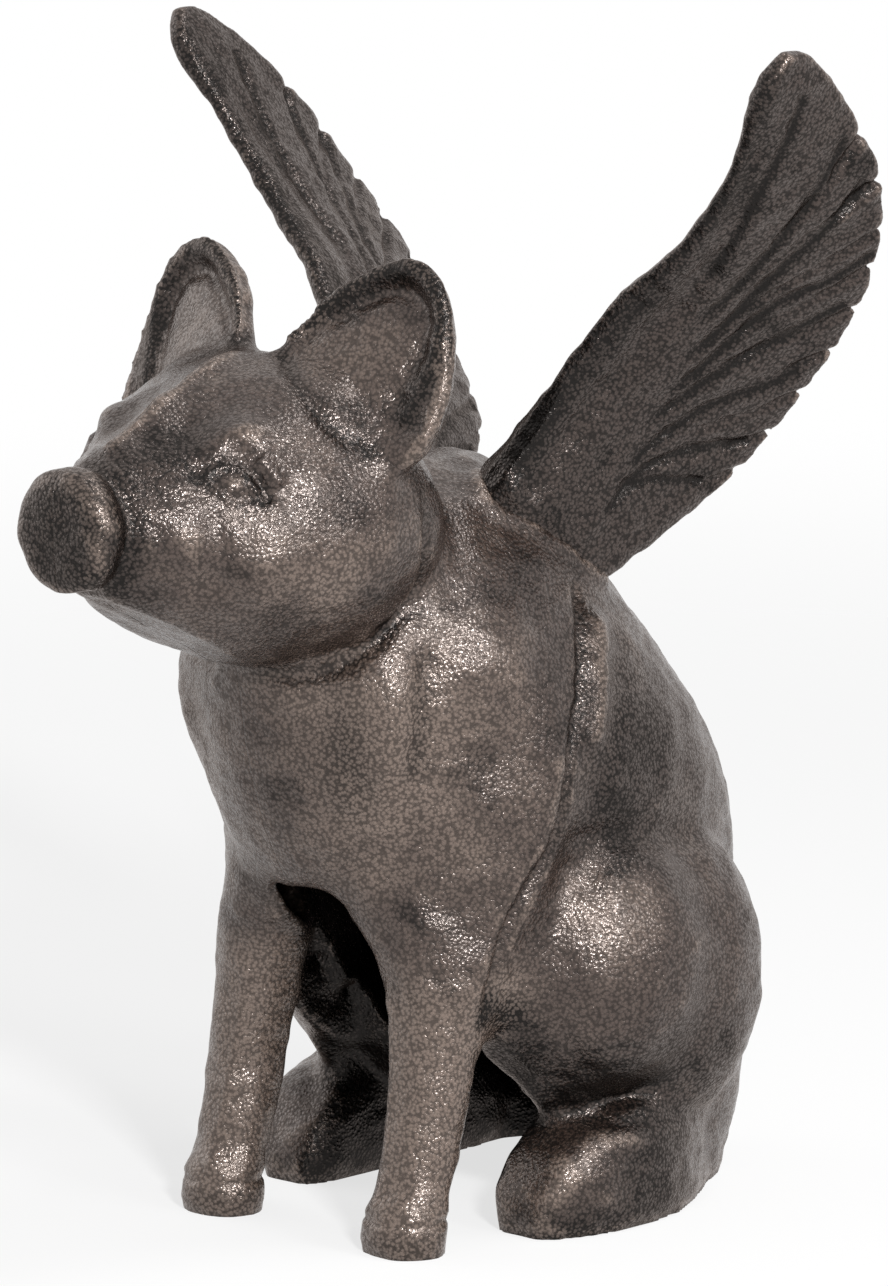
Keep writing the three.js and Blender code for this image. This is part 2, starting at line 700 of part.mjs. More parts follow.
let wing = wingForm().subtract(trunkForm(SEAT_GAP));
for (const groove of FEATHER_GROOVES) {
  wing = wing.subtract(featherGroove(groove, 1)).subtract(featherGroove(groove, -1));
  wing = wing.subtract(featherNick(groove));
}
for (const { seat, along } of wingAxes) {
  const bore = toSolid(aim(panScrew(SEAT_GAP), seat, along));
  const inside = seat.clone().addScaledVector(along, -WING_SCREW_GRIP);
  const room = bar(inside, seat, WASHER_WIDTH + 2 * SEAT_GAP);
  leftShell = leftShell.subtract(bore).subtract(room);
  wing = wing.subtract(bore);
}

const leftGeometry = toGeometry(leftShell);
let leftBody = leftShell;
let rightBody = toSolid(mirrored(leftGeometry));
const pieces = [];
for (const [name, back, height] of halfScrews) {
  const face = v3(-surfaceOut(leftGeometry, back, height) + HALF_SCREW_SINK, back, height);
  const length = HALF_SCREW_BITE - face.x;
  const along = v3(1, 0, 0);
  const bore = toSolid(aim(flatScrew(length, SEAT_GAP, WALL), face, along));
  leftBody = leftBody.subtract(bore);
  rightBody = rightBody.subtract(bore);
  const screw = toSolid(flatScrew(length, 0, 0)).subtract(slotCut(0, HALF_SCREW_HEAD));
  pieces.push([name, aim(toGeometry(screw), face, along), SCREW_STEEL]);
}

const screwSolid = toSolid(panScrew(0)).subtract(slotCut(-WING_SCREW_HEAD_HEIGHT, WING_SCREW_HEAD));
const screwGeometry = toGeometry(screwSolid);
const washerGeometry = toGeometry(toSolid(washerForm()));
const wingGeometry = toGeometry(wing);
pieces.push(['left_body_casting', toGeometry(leftBody), IRON]);
pieces.push(['right_body_casting', toGeometry(rightBody), IRON]);
pieces.push(['left_wing', wingGeometry, DARK_IRON]);
pieces.push(['right_wing', mirrored(wingGeometry), DARK_IRON]);
wingAxes.forEach(({ seat, along }, i) => {
  const end = ['fore', 'aft'][i];
  const washerAt = seat.clone().addScaledVector(along, -SEAT_GAP);
  const screwAt = washerAt.clone().addScaledVector(along, -WASHER_THICKNESS - SEAT_GAP);
  const washer = aim(washerGeometry, washerAt, along);
  const screw = aim(screwGeometry, screwAt, along);
  pieces.push([`left_wing_washer_${end}`, washer, SCREW_STEEL]);
  pieces.push([`left_wing_screw_${end}`, screw, SCREW_STEEL]);
  pieces.push([`right_wing_washer_${end}`, mirrored(washer), SCREW_STEEL]);
  pieces.push([`right_wing_screw_${end}`, mirrored(screw), SCREW_STEEL]);
});

// The origin lies on the floor below the middle of the whole figure.
const extent = new THREE.Box3();
for (const [, geometry] of pieces) {
  geometry.computeBoundingBox();
  extent.union(geometry.boundingBox);
}
const middle = extent.getCenter(v3(0, 0, 0));

const group = new THREE.Group();
group.name = 'pig_doorstop';
for (const [name, geometry, finish] of pieces) {
  geometry.translate(0, -middle.y, 0);
  const mesh = new THREE.Mesh(geometry, new THREE.MeshStandardMaterial(finish));
  mesh.name = name;
  group.add(mesh);
}

export default group;
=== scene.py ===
"""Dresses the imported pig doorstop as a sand-cast iron figure and sets it on a pale stage.

Lengths in the settings are metres. The sculpting works in millimetres, in the same frame as the solids:
X across the pig, the snout towards -Y, Z up from the floor.
"""
import math

import bmesh
import bpy
import numpy as np
import openvdb
from bpy.props import FloatProperty, FloatVectorProperty, IntProperty, PointerProperty
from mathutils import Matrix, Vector
from mathutils.bvhtree import BVHTree


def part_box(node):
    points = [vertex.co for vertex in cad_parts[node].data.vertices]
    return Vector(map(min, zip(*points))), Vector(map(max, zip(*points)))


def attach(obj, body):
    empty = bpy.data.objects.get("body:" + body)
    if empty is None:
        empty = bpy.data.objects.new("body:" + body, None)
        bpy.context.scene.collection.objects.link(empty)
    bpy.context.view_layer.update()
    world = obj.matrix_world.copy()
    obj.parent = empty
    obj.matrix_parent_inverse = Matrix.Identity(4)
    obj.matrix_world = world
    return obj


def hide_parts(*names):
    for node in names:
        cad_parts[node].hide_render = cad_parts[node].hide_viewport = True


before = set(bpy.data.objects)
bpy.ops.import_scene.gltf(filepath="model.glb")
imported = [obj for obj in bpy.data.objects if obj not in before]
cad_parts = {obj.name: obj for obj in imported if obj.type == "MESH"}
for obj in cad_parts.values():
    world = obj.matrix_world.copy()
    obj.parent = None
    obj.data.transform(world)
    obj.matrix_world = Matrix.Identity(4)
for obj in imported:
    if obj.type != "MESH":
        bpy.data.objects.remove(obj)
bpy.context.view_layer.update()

bl_info = {
    "name": "Pig Doorstop",
    "version": (1, 0, 0),
    "blender": (4, 5, 0),
    "location": "3D View > Sidebar > Doorstop",
    "description": "Dresses the packed doorstop solids as a sand-cast iron pig on a pale stage",
    "category": "Object",
}

MM = 1000.0
BODY = "root"
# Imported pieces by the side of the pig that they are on
BODY_NODES = {1: "left_body_casting", -1: "right_body_casting"}
WING_NODES = {1: "left_wing", -1: "right_wing"}
BODY_SCREWS = ("shoulder_screw", "rump_screw")


# Settings

LENGTH = {"unit": "LENGTH", "precision": 5}
FACTOR = {"subtype": "FACTOR", "min": 0.0, "max": 1.0}
COLOUR = {"subtype": "COLOR", "size": 3, "min": 0.0, "max": 1.0}
WATTS = {"unit": "POWER", "min": 0.0}


class CastingSettings(bpy.types.PropertyGroup):
    """The two hollow halves of the pig."""

    cell: FloatProperty(
        name="Cell", description="Edge length of the sculpted skin",
        default=0.00085, min=0.0004, max=0.003, **LENGTH)
    soften: IntProperty(
        name="Soften", description="Rounds of smoothing that wear the pattern's edges soft",
        default=34, min=0, max=200)
    blend: IntProperty(
        name="Blend", description="Rounds of smoothing that run the shoulders into the chest",
        default=160, min=0, max=600)
    screw_clearance: FloatProperty(
        name="Screw clearance", description="Room left round the heads of the body screws",
        default=0.0007, min=0.0, max=0.003, **LENGTH)
    lump_height: FloatProperty(
        name="Lump height", description="How far the hand-finished surface swells and dips",
        default=0.00022, min=0.0, max=0.002, **LENGTH)


class WingSettings(bpy.types.PropertyGroup):
    """The feathered wings."""

    cell: FloatProperty(
        name="Cell", description="Edge length of the sculpted wing skin",
        default=0.00052, min=0.0003, max=0.003, **LENGTH)
    crisp: FloatProperty(
        name="Crispness", description="How strongly the lines between the feathers stand out",
        default=0.8, min=0.0, max=4.0)
    line_depth: FloatProperty(
        name="Line depth", description="Depth of the long lines that fan out over the wing",
        default=0.0006, min=0.0, max=0.003, **LENGTH)


class FinishSettings(bpy.types.PropertyGroup):
    """The dark rustic coat on the iron."""

    # Brown also paints light on the spots where highlights fall, besides the wear.
    brown: FloatVectorProperty(
        name="Brown", description="Colour of the high, rubbed parts of the coat",
        default=(0.135, 0.099, 0.08), **COLOUR)
    umber: FloatVectorProperty(
        name="Umber", description="Colour of most of the coat",
        default=(0.036, 0.022, 0.017), **COLOUR)
    # Soot also paints the shade in the creases, the hollow and the less lit sides.
    soot: FloatVectorProperty(
        name="Soot", description="Colour of the pits and dark patches",
        default=(0.012, 0.011, 0.0105), **COLOUR)
    grain: FloatProperty(
        name="Grain", description="Width of one pebble of the sand-cast skin",
        default=0.0007, min=0.0002, max=0.01, **LENGTH)
    grain_depth: FloatProperty(
        name="Grain depth", description="Height of the pebbles",
        default=0.00015, min=0.0, max=0.002, **LENGTH)
    gloss: FloatProperty(
        name="Roughness", description="Roughness of the coat on the pebbles",
        default=0.2, **FACTOR)
    shine: FloatProperty(
        name="Shine", description="How strongly the coat mirrors the lamps",
        default=0.9, **FACTOR)
    patch_size: FloatProperty(
        name="Patch size", description="Width of the large pale and dark patches",
        default=0.017, min=0.001, max=0.1, **LENGTH)
    blotch_size: FloatProperty(
        name="Blotch size", description="Width of the small blotches",
        default=0.0045, min=0.0005, max=0.05, **LENGTH)
    wing_soot: FloatProperty(
        name="Wing soot", description="How much darker the wings are than the body",
        default=0.3, **FACTOR)
    # Metal also takes the mirrored light out of the painted shade.
    metal: FloatProperty(
        name="Metal", description="How far the sooty patches look like bare dark iron",
        default=0.85, **FACTOR)


class StageSettings(bpy.types.PropertyGroup):
    """Camera, lamps and floor."""

    eye: FloatVectorProperty(
        name="Camera", description="Where the camera stands",
        subtype="TRANSLATION", unit="LENGTH", size=3, default=(0.931, -0.9489, 0.3324))
    target: FloatVectorProperty(
        name="Target", description="The point in the middle of the picture",
        subtype="TRANSLATION", unit="LENGTH", size=3, default=(0.0182, -0.00364, 0.1146))
    lens: FloatProperty(
        name="Lens", description="Focal length in millimetres on a 36 mm frame",
        default=195.95, min=10, max=500, unit="CAMERA")
    key_power: FloatProperty(
        name="Key lamp", description="Power of the soft box over the camera",
        default=20.0, **WATTS)
    side_power: FloatProperty(
        name="Side lamp", description="Power of the soft box on the right",
        default=4.0, **WATTS)
    top_power: FloatProperty(
        name="Top lamp", description="Power of the soft box overhead",
        default=4.0, **WATTS)
    fill_power: FloatProperty(
        name="Fill lamp", description="Power of the wide soft box on the left",
        default=3.0, **WATTS)
    sky: FloatProperty(
        name="Room light", description="Strength of the even light all round", default=0.3, min=0.0)
    glow: FloatProperty(
        name="White floor", description="Share of plain white in the floor as the camera sees it",
        default=0.72, **FACTOR)
    floor: FloatVectorProperty(
        name="Floor", description="Colour of the floor",
        default=(0.93, 0.93, 0.93), **COLOUR)


# Mesh tools

def solid_arrays(name):
    """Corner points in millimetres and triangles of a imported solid."""
    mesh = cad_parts[name].data
    points = np.empty(len(mesh.vertices) * 3, np.float32)
    mesh.vertices.foreach_get("co", points)
    mesh.calc_loop_triangles()
    triangles = np.empty(len(mesh.loop_triangles) * 3, np.int32)
    mesh.loop_triangles.foreach_get("vertices", triangles)
    return points.reshape(-1, 3) * MM, triangles.reshape(-1, 3)


class Field:
    """Distance to a solid on a regular grid, in millimetres, negative inside."""

    def __init__(self, low, high, cell, band=4):
        self.cell = cell
        self.band = band
        self.low = np.floor(np.asarray(low) / cell).astype(int) - band
        self.high = np.ceil(np.asarray(high) / cell).astype(int) + band
        shape = tuple(self.high - self.low + 1)
        self.values = np.full(shape, band * cell, np.float32)

    def join(self, points, triangles):
        """Adds a closed solid to the field."""
        transform = openvdb.createLinearTransform(self.cell)
        grid = openvdb.FloatGrid.createLevelSetFromPolygons(
            points.astype(np.float32), triangles=triangles.astype(np.uint32),
            transform=transform, halfWidth=float(self.band))
        part = np.full_like(self.values, self.band * self.cell)
        grid.copyToArray(part, ijk=tuple(int(i) for i in self.low))
        np.minimum(self.values, part, out=self.values)

    def swell(self, centre, radii, wall, blend):
        """Adds the outer half of an egg-shaped shell, run into what is there with a soft fillet."""
        x, y, z = self.places()
        apart = np.sqrt(sum(((a - c) / r) ** 2 for a, c, r in zip((x, y, z), centre, radii)))
        outer = (apart - 1) * min(radii)
        inward = abs(centre[0]) - np.sign(centre[0]) * x
        shell = np.maximum(np.maximum(outer, -outer - wall), inward)
        near = np.clip(0.5 + 0.5 * (self.values - shell) / blend, 0, 1)
        joined = self.values + near * (shell - self.values) - blend * near * (1 - near)
        self.values = joined.astype(np.float32)

    def bore(self, low, high, clearance):
        """Opens a round hole over a screw's head, out through the pig's right side."""
        x, y, z = self.places()
        middle = (np.asarray(low) + np.asarray(high)) / 2
        radius = (high[2] - low[2]) / 2 + clearance
        hole = np.maximum(np.hypot(y - middle[1], z - middle[2]) - radius, x - low[0])
        self.values = np.maximum(self.values, -hole).astype(np.float32)

    def places(self):
        """X, Y and Z of the grid's cells, each ready to be broadcast."""
        axes = [np.arange(lo, hi + 1) * self.cell for lo, hi in zip(self.low, self.high)]
        return axes[0][:, None, None], axes[1][None, :, None], axes[2][None, None, :]

    def skin(self):
        """The zero surface as points and four-sided faces."""
        grid = openvdb.FloatGrid(self.band * self.cell)
        grid.copyFromArray(self.values, ijk=tuple(int(i) for i in self.low))
        grid.transform = openvdb.createLinearTransform(self.cell)
        points, quads = grid.convertToQuads(isovalue=0.0)
        return Skin(np.asarray(points, np.float64), np.asarray(quads, np.int64))


class Skin:
    """A closed mesh of four-sided faces that can be smoothed and pushed along its normals."""

    def __init__(self, points, quads):
        self.points = points
        self.quads = quads
        edges = np.concatenate([quads[:, [0, 1]], quads[:, [1, 2]], quads[:, [2, 3]], quads[:, [3, 0]]])
        edges = np.unique(np.sort(edges, axis=1), axis=0)
        self.ends = np.concatenate([edges[:, 0], edges[:, 1]])
        self.others = np.concatenate([edges[:, 1], edges[:, 0]])
        self.degree = np.maximum(np.bincount(self.ends, minlength=len(points)), 1)[:, None]

    def largest(self):
        """The largest connected part alone, without the closed voids inside the walls."""
        label = np.arange(len(self.points))
        while True:
            lower = label.copy()
            np.minimum.at(lower, self.ends, label[self.others])
            lower = lower[lower]
            if (lower == label).all():
                break
            label = lower
        kept = label == np.bincount(label).argmax()
        place = np.cumsum(kept) - 1
        return Skin(self.points[kept], place[self.quads[kept[self.quads[:, 0]]]])

    def around(self, values):
        """Mean of each point's neighbours."""
        count = len(self.points)
        sums = [np.bincount(self.ends, column[self.others], count) for column in values.T]
        return np.stack(sums, 1) / self.degree

    def normals(self):
        """Unit normals at the points."""
        p = self.points[self.quads]
        face = np.cross(p[:, 2] - p[:, 0], p[:, 3] - p[:, 1])
        total = np.stack([
            sum(np.bincount(self.quads[:, k], face[:, i], len(self.points)) for k in range(4))
            for i in range(3)], 1)
        return total / np.maximum(np.linalg.norm(total, axis=1, keepdims=True), 1e-12)

    def relax(self, rounds, weight=1.0, keep=0.0):
        """Smooths the mesh; keep pushes back after each round so that big forms don't shrink."""
        weight = np.broadcast_to(np.asarray(weight, float), (len(self.points),))[:, None]
        for _ in range(rounds):
            self.points += 0.5 * weight * (self.around(self.points) - self.points)
            if keep:
                self.points -= 0.5 * keep * weight * (self.around(self.points) - self.points)

    def wear(self):
        """1 on the edges and crowns that get rubbed, 0 on the flats and in the creases."""
        return fade(*RUBBED_BEND, self.edge_sharpness(8))

    def edge_sharpness(self, rounds=3):
        """How sharply the mesh turns outwards at each point, in millimetres a cell."""
        pull = self.around(self.points) - self.points
        bend = -(pull * self.normals()).sum(1)[:, None]
        for _ in range(rounds):
            bend = 0.5 * bend + 0.5 * self.around(bend)
        return bend[:, 0]


def fade(low, high, x):
    """Smooth rise from 0 at low to 1 at high."""
    t = np.clip((x - low) / (high - low), 0.0, 1.0)
    return t * t * (3 - 2 * t)


def near_line(points, line, reach):
    """Which points lie within reach of a bent line, how far off, and the share along it."""
    line = np.asarray(line, float)
    low, high = line.min(0) - reach, line.max(0) + reach
    chosen = np.flatnonzero(((points > low) & (points < high)).all(1))
    p = points[chosen]
    best = np.full(len(p), np.inf)
    share = np.zeros(len(p))
    lengths = np.linalg.norm(np.diff(line, axis=0), axis=1)
    starts = np.concatenate([[0], np.cumsum(lengths)])
    for i in range(len(line) - 1):
        along = (line[i + 1] - line[i]) / lengths[i]
        t = np.clip((p - line[i]) @ along, 0, lengths[i])
        d = np.linalg.norm(p - line[i] - t[:, None] * along, axis=1)
        closer = d < best
        best[closer] = d[closer]
        share[closer] = (starts[i] + t[closer]) / starts[-1]
    return chosen, best, share


def between(share, ends):
    """1 along a line, fading to 0 over a share of its length at each end."""
    kept = np.ones(len(share))
    if ends[0]:
        kept *= fade(0, ends[0], share)
    if ends[1]:
        kept *= fade(0, ends[1], 1 - share)
    return kept


def rounded(line, rounds=2):
    """A bent line with its corners cut, so that no kink shows."""
    line = np.asarray(line, float)
    for _ in range(rounds):
        cut = np.empty((2 * len(line) - 2, 3))
        cut[0::2] = 0.75 * line[:-1] + 0.25 * line[1:]
        cut[1::2] = 0.25 * line[:-1] + 0.75 * line[1:]
        line = np.concatenate([line[:1], cut, line[-1:]])
    return line


class Carver:
    """Pushes a skin in and out along its normals, alike on both sides of the pig."""

    def __init__(self, points, normals):
        fold = np.column_stack([np.where(points[:, 0] < 0, -1.0, 1.0), np.ones((len(points), 2))])
        self.points = points * fold
        self.normals = normals * fold
        self.out = np.zeros(len(points))

    def _faces(self, chosen, facing):
        """1 where the skin looks along a direction, fading to 0 where it looks away."""
        if facing is None:
            return 1.0
        facing = np.asarray(facing, float) / np.linalg.norm(facing)
        return fade(0.0, 0.35, self.normals[chosen] @ facing)

    def line(self, line, height, width, ends=(0.0, 0.0), facing=None, through=None):
        """A ridge along a line, or a groove where the height is negative.

        Given a direction through a plate, both faces of the plate are marked.
        """
        points, line = self.points, rounded(line)
        if through is not None:
            points = points - np.outer(points @ through, through)
            line = line - np.outer(line @ through, through)
        chosen, d, share = near_line(points, line, 3 * width)
        rise = height * np.exp(-(d / width) ** 2) * between(share, ends)
        self.out[chosen] += rise * self._faces(chosen, facing)

    def edge(self, line, height, width, ends=(0.0, 0.0)):
        """A ridge with a crisp crown along a line."""
        chosen, d, share = near_line(self.points, rounded(line), 4 * width)
        self.out[chosen] += height * np.exp(-d / width) * between(share, ends)

    def bump(self, centre, radii, height, facing=None):
        """A soft swelling, or a dip where the height is negative."""
        radii = np.broadcast_to(np.asarray(radii, float), 3)
        chosen = np.flatnonzero((np.abs(self.points - centre) < 3 * radii).all(1))
        d = ((self.points[chosen] - centre) / radii) ** 2
        self.out[chosen] += height * np.exp(-d.sum(1)) * self._faces(chosen, facing)

    def weight(self, line, width):
        """1 on a line, fading to 0 away from it."""
        share = np.zeros(len(self.points))
        chosen, d, _ = near_line(self.points, line, 3 * width)
        share[chosen] = np.exp(-(d / width) ** 2)
        return share


def noise_field(points, size, seed, waves=14):
    """Smooth lumps about one size across, mostly from -1 to 1, summed up from crossing waves."""
    rng = np.random.default_rng(seed)
    total = np.zeros(len(points))
    for _ in range(waves):
        direction = rng.normal(size=3)
        direction *= 2 * math.pi / (size * rng.uniform(1.4, 2.6)) / np.linalg.norm(direction)
        total += np.sin(points @ direction + rng.uniform(0, 2 * math.pi))
    return total / waves ** 0.5 / 1.4


def lumps(points, layers):
    """Noise of several sizes laid over each other."""
    return sum(share * noise_field(points, size, seed) for size, seed, share in layers)


def mark(mesh, name, values):
    """Gives each point of a mesh a value that its coat can read."""
    layer = mesh.attributes.new(name, "FLOAT", "POINT")
    layer.data.foreach_set("value", np.ascontiguousarray(values, np.float32))


def placed(name, data):
    """A new object in the scene."""
    thing = bpy.data.objects.new(name, data)
    bpy.context.scene.collection.objects.link(thing)
    return thing


def mesh_object(name, points, faces, **marks):
    """A smooth-shaded object from points in millimetres, with any marks for its coat."""
    mesh = bpy.data.meshes.new(name)
    mesh.from_pydata((points / MM).tolist(), [], faces.tolist())
    for key, values in marks.items():
        mark(mesh, key, values)
    mesh.shade_smooth()
    mesh.update()
    return placed(name, mesh)


def mesh_arrays(mesh):
    """Points in millimetres and normals of a mesh."""
    points = np.empty(len(mesh.vertices) * 3, np.float32)
    normals = np.empty_like(points)
    mesh.vertices.foreach_get("co", points)
    mesh.vertex_normals.foreach_get("vector", normals)
    return points.reshape(-1, 3).astype(float) * MM, normals.reshape(-1, 3).astype(float)


def refine(mesh, chosen):
    """Splits the faces between chosen points into four, for finer carving there."""
    form = bmesh.new()
    form.from_mesh(mesh)
    edges = [e for e in form.edges if chosen[e.verts[0].index] and chosen[e.verts[1].index]]
    bmesh.ops.subdivide_edges(form, edges=edges, cuts=1, use_grid_fill=True)
    form.to_mesh(mesh)
    form.free()


def half_of(thing, name, sign):
    """The part of a mesh on one side of the pig's middle, closed with a flat face."""
    form = bmesh.new()
    form.from_mesh(thing.data)
    cut = bmesh.ops.bisect_plane(
        form, geom=form.verts[:] + form.edges[:] + form.faces[:], dist=1e-7,
        plane_co=(0, 0, 0), plane_no=(sign, 0, 0), clear_inner=True)
    rim = [e for e in cut["geom_cut"] if isinstance(e, bmesh.types.BMEdge) and e.is_boundary]
    bmesh.ops.triangle_fill(form, use_beauty=True, use_dissolve=False, edges=rim, normal=(-sign, 0, 0))
    bmesh.ops.recalc_face_normals(form, faces=form.faces[:])
    mesh = bpy.data.meshes.new(name)
    form.to_mesh(mesh)
    form.free()
    mesh.shade_smooth()
    return placed(name, mesh)


def stands_for(thing, node, material):
    """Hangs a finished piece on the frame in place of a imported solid."""
    thing.data.materials.clear()
    thing.data.materials.append(material)
    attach(thing, BODY)
    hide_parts(node)


# Shader tools

WHITE = (1, 1, 1, 1)
WARM_SHINE = (1.0, 0.9, 0.85, 1.0)
RUBBED_STEEL = (0.11, 0.098, 0.088)
SCREW_WEAR_SIZE = 0.0016
SCREW_SPECK_SIZE = 0.0005
SCREW_SPECK_DEPTH = 0.00006


class Value:
    """A shader socket that takes part in Python expressions."""

    def __init__(self, coat, socket):
        self.coat = coat
        self.socket = socket

    def _math(self, operation, *terms, clamp=False):
        return self.coat.node("ShaderNodeMath", {"operation": operation, "use_clamp": clamp}, list(terms))

    def __add__(self, other):
        return self._math("ADD", self, other)

    __radd__ = __add__

    def __sub__(self, other):
        return self._math("SUBTRACT", self, other)

    def __rsub__(self, other):
        return self._math("SUBTRACT", other, self)

    def __mul__(self, other):
        return self._math("MULTIPLY", self, other)

    __rmul__ = __mul__

    def clamped(self):
        """The value kept between 0 and 1."""
        return self._math("ADD", self, 0.0, clamp=True)

    def size(self):
        """The value without its sign."""
        return self._math("ABSOLUTE", self)

    def ramp(self, low, high):
        """Smooth rise from 0 to 1 between two values."""
        return self.coat.node(
            "ShaderNodeMapRange", {"interpolation_type": "SMOOTHSTEP"},
            {"Value": self, "From Min": low, "From Max": high})


class Coat:
    """A material or world that is built up node by node."""

    def __init__(self, holder):
        self.holder = holder
        holder.use_nodes = True
        self.tree = holder.node_tree
        self.tree.nodes.clear()

    def node(self, kind, settings=None, sockets=None, out=0):
        """Adds a node: its settings first, then its sockets by name or in order; gives one output."""
        made = self.tree.nodes.new(kind)
        for key, value in (settings or {}).items():
            setattr(made, key, value)
        pairs = sockets.items() if isinstance(sockets, dict) else enumerate(sockets or [])
        for key, value in pairs:
            if isinstance(value, Value):
                self.tree.links.new(value.socket, made.inputs[key])
            else:
                made.inputs[key].default_value = value
        return Value(self, made.outputs[out]) if made.outputs else None

    def mix(self, share, first, second):
        """Colour between two colours."""
        return self.node(
            "ShaderNodeMix", {"data_type": "RGBA"},
            {0: share, 6: rgba(first), 7: rgba(second)}, out=2)

    def noise(self, place, size, detail=2.0, rough=0.5, distort=0.0):
        """Noise whose lumps are about one size across, in metres."""
        return self.node("ShaderNodeTexNoise", {}, {
            "Vector": place, "Scale": 1.0 / size, "Detail": detail, "Roughness": rough,
            "Distortion": distort})

    def pebbles(self, place, size, soft=0.4):
        """Distance from the middle of packed pebbles of one size."""
        return self.node(
            "ShaderNodeTexVoronoi", {"feature": "SMOOTH_F1"},
            {"Vector": place, "Scale": 1.0 / size, "Smoothness": soft})

    def shown(self):
        """1 for what is seen, mirrored or seen through glass, 0 for what only lights."""
        camera, glossy, glass = (
            self.node("ShaderNodeLightPath", {}, {}, out=f"Is {ray} Ray")
            for ray in ("Camera", "Glossy", "Transmission"))
        return (camera + glossy + glass).clamped()

    def finish(self, **sockets):
        """Ends the material in a principled surface."""
        surface = self.node("ShaderNodeBsdfPrincipled", {}, sockets)
        self.node("ShaderNodeOutputMaterial", {}, {"Surface": surface})
        return self.holder


def rgba(colour):
    """A colour or a link, ready for a colour socket."""
    if isinstance(colour, Value):
        return colour
    return (*tuple(colour)[:3], 1.0)


def sand_grain(coat, place, size):
    """Height and pits of a sand-cast skin: crooked crests over packed pebbles, grit and slow swells. The
    pits darken the low places: partly their own dark colour, partly painted shade of the relief.
    """
    worms = coat.noise(place, size * 1.2, 1.0, 0.5, 0.9)
    crests = 1.0 - (worms * 2.0 - 1.0).size()
    pebble = coat.pebbles(place, size)
    grit = coat.noise(place, size * 0.4, 2.0, 0.6)
    swell = coat.noise(place, size * 4.5, 2.0)
    height = crests * 0.55 - pebble * 0.9 + grit * 0.06 + swell * 0.4
    # Pit mask: dark pits, plus painted shade that darkens the low places of the relief
    pits_and_painted_shade = (pebble - crests * 0.4 + grit * 0.3).ramp(0.08, 0.54)
    return height, pits_and_painted_shade


def iron_coat(name, settings, dark):
    """Sand-cast iron under a thin brown-black coat; dark moves it towards soot."""
    coat = Coat(bpy.data.materials.new(name))
    place = coat.node("ShaderNodeTexCoord", {}, {}, out="Object")
    # First attribute: brown wear, together with painted light on the spots where highlights fall
    worn = coat.node("ShaderNodeAttribute", {"attribute_name": "worn"}, {}, out="Fac")
    # Second attribute: soot, together with painted shade in the creases, the hollow and the less lit
    # sides
    stain = coat.node("ShaderNodeAttribute", {"attribute_name": "stain"}, {}, out="Fac")
    height, pits_and_painted_shade = sand_grain(coat, place, settings.grain)
    patch = coat.noise(place, settings.patch_size, 3.0, 0.55, 0.5)
    blotch = coat.noise(place, settings.blotch_size, 3.0, 0.6, 0.4)
    tone = (patch * 0.6 + blotch * 0.3 + worn * 0.5 - 0.2 - dark * 0.4).clamped()
    body = coat.mix(tone.ramp(0.2, 0.62), settings.umber, settings.brown)
    soot_and_shade_share = (patch.ramp(0.46, 0.3) * 0.35 + stain * 0.9 + dark - worn * 0.2).clamped()
    shade = (pits_and_painted_shade * 0.6 + soot_and_shade_share * (0.75 + blotch * 0.4)).clamped()
    bump = coat.node(
        "ShaderNodeBump", {}, {"Strength": 1.0, "Distance": settings.grain_depth, "Height": height})
    return coat.finish(**{
        "Base Color": coat.mix(shade, body, settings.soot),
        "Metallic": (shade * settings.metal).clamped(),
        "Roughness": (settings.gloss + pits_and_painted_shade * 0.12 + (blotch - 0.5) * 0.15).clamped(),
        "Normal": bump,
        "Specular IOR Level": settings.shine,
        "Specular Tint": WARM_SHINE})


def screw_coat(name, settings):
    """Darkened steel of the screws and washers, rubbed a little on the high places."""
    coat = Coat(bpy.data.materials.new(name))
    place = coat.node("ShaderNodeTexCoord", {}, {}, out="Object")
    wear = coat.noise(place, SCREW_WEAR_SIZE, 4.0, 0.6)
    speck = coat.noise(place, SCREW_SPECK_SIZE, 2.0)
    colour = coat.mix(wear.ramp(0.4, 0.65), settings.soot, RUBBED_STEEL)
    bump = coat.node(
        "ShaderNodeBump", {}, {"Strength": 0.5, "Distance": SCREW_SPECK_DEPTH, "Height": speck + wear})
    rough = (0.34 + wear * 0.25).clamped()
    return coat.finish(**{"Base Color": colour, "Metallic": 0.7, "Roughness": rough, "Normal": bump})


# The pig's features: lines and points in millimetres on its left side

JOWL = [
    (31.5, -26, 152.5), (33, -24.5, 145.5), (32, -22.5, 136.5), (27, -21, 127.5), (24.5, -26.5, 119.5),
    (20.5, -32.5, 114), (14, -37.5, 111.5), (4.5, -40.5, 112.5),
]
CHEEK_VALLEY = [(19, -65.5, 148.5), (20.5, -66, 141.5), (19.5, -65.5, 134), (15.5, -65.5, 128)]
SHOULDER = [
    (28, 22.5, 127), (35, 16.5, 116.5), (38.5, 12.5, 106), (42, 7, 95.5), (42, 5.5, 86), (41.5, 4, 78.5),
    (40, -0.5, 72.5), (38.5, -5.5, 64.5), (37, -8, 55.5), (33.5, -9, 44),
]
RIB = [(30.5, 25.5, 121), (35, 21, 114), (38, 18.5, 107), (40, 16, 100), (40.5, 13, 92.5)]
CHEST_VALLEY = [
    (28.5, -19.5, 118.5), (30, -21, 111), (29.5, -22, 103.5), (29, -22.5, 96), (27.5, -22, 88),
]
HAUNCH_TOP = [(40.5, 6.5, 77.5), (39.5, 17.5, 76.5), (39.5, 30, 77), (37.5, 48.5, 73.5), (33, 60, 66)]
LEDGE = [(22, 19.5, 21), (35, 16, 21.5), (43, 19, 21), (44.5, 28.5, 20.5), (40.5, 45, 19), (34, 57, 16)]
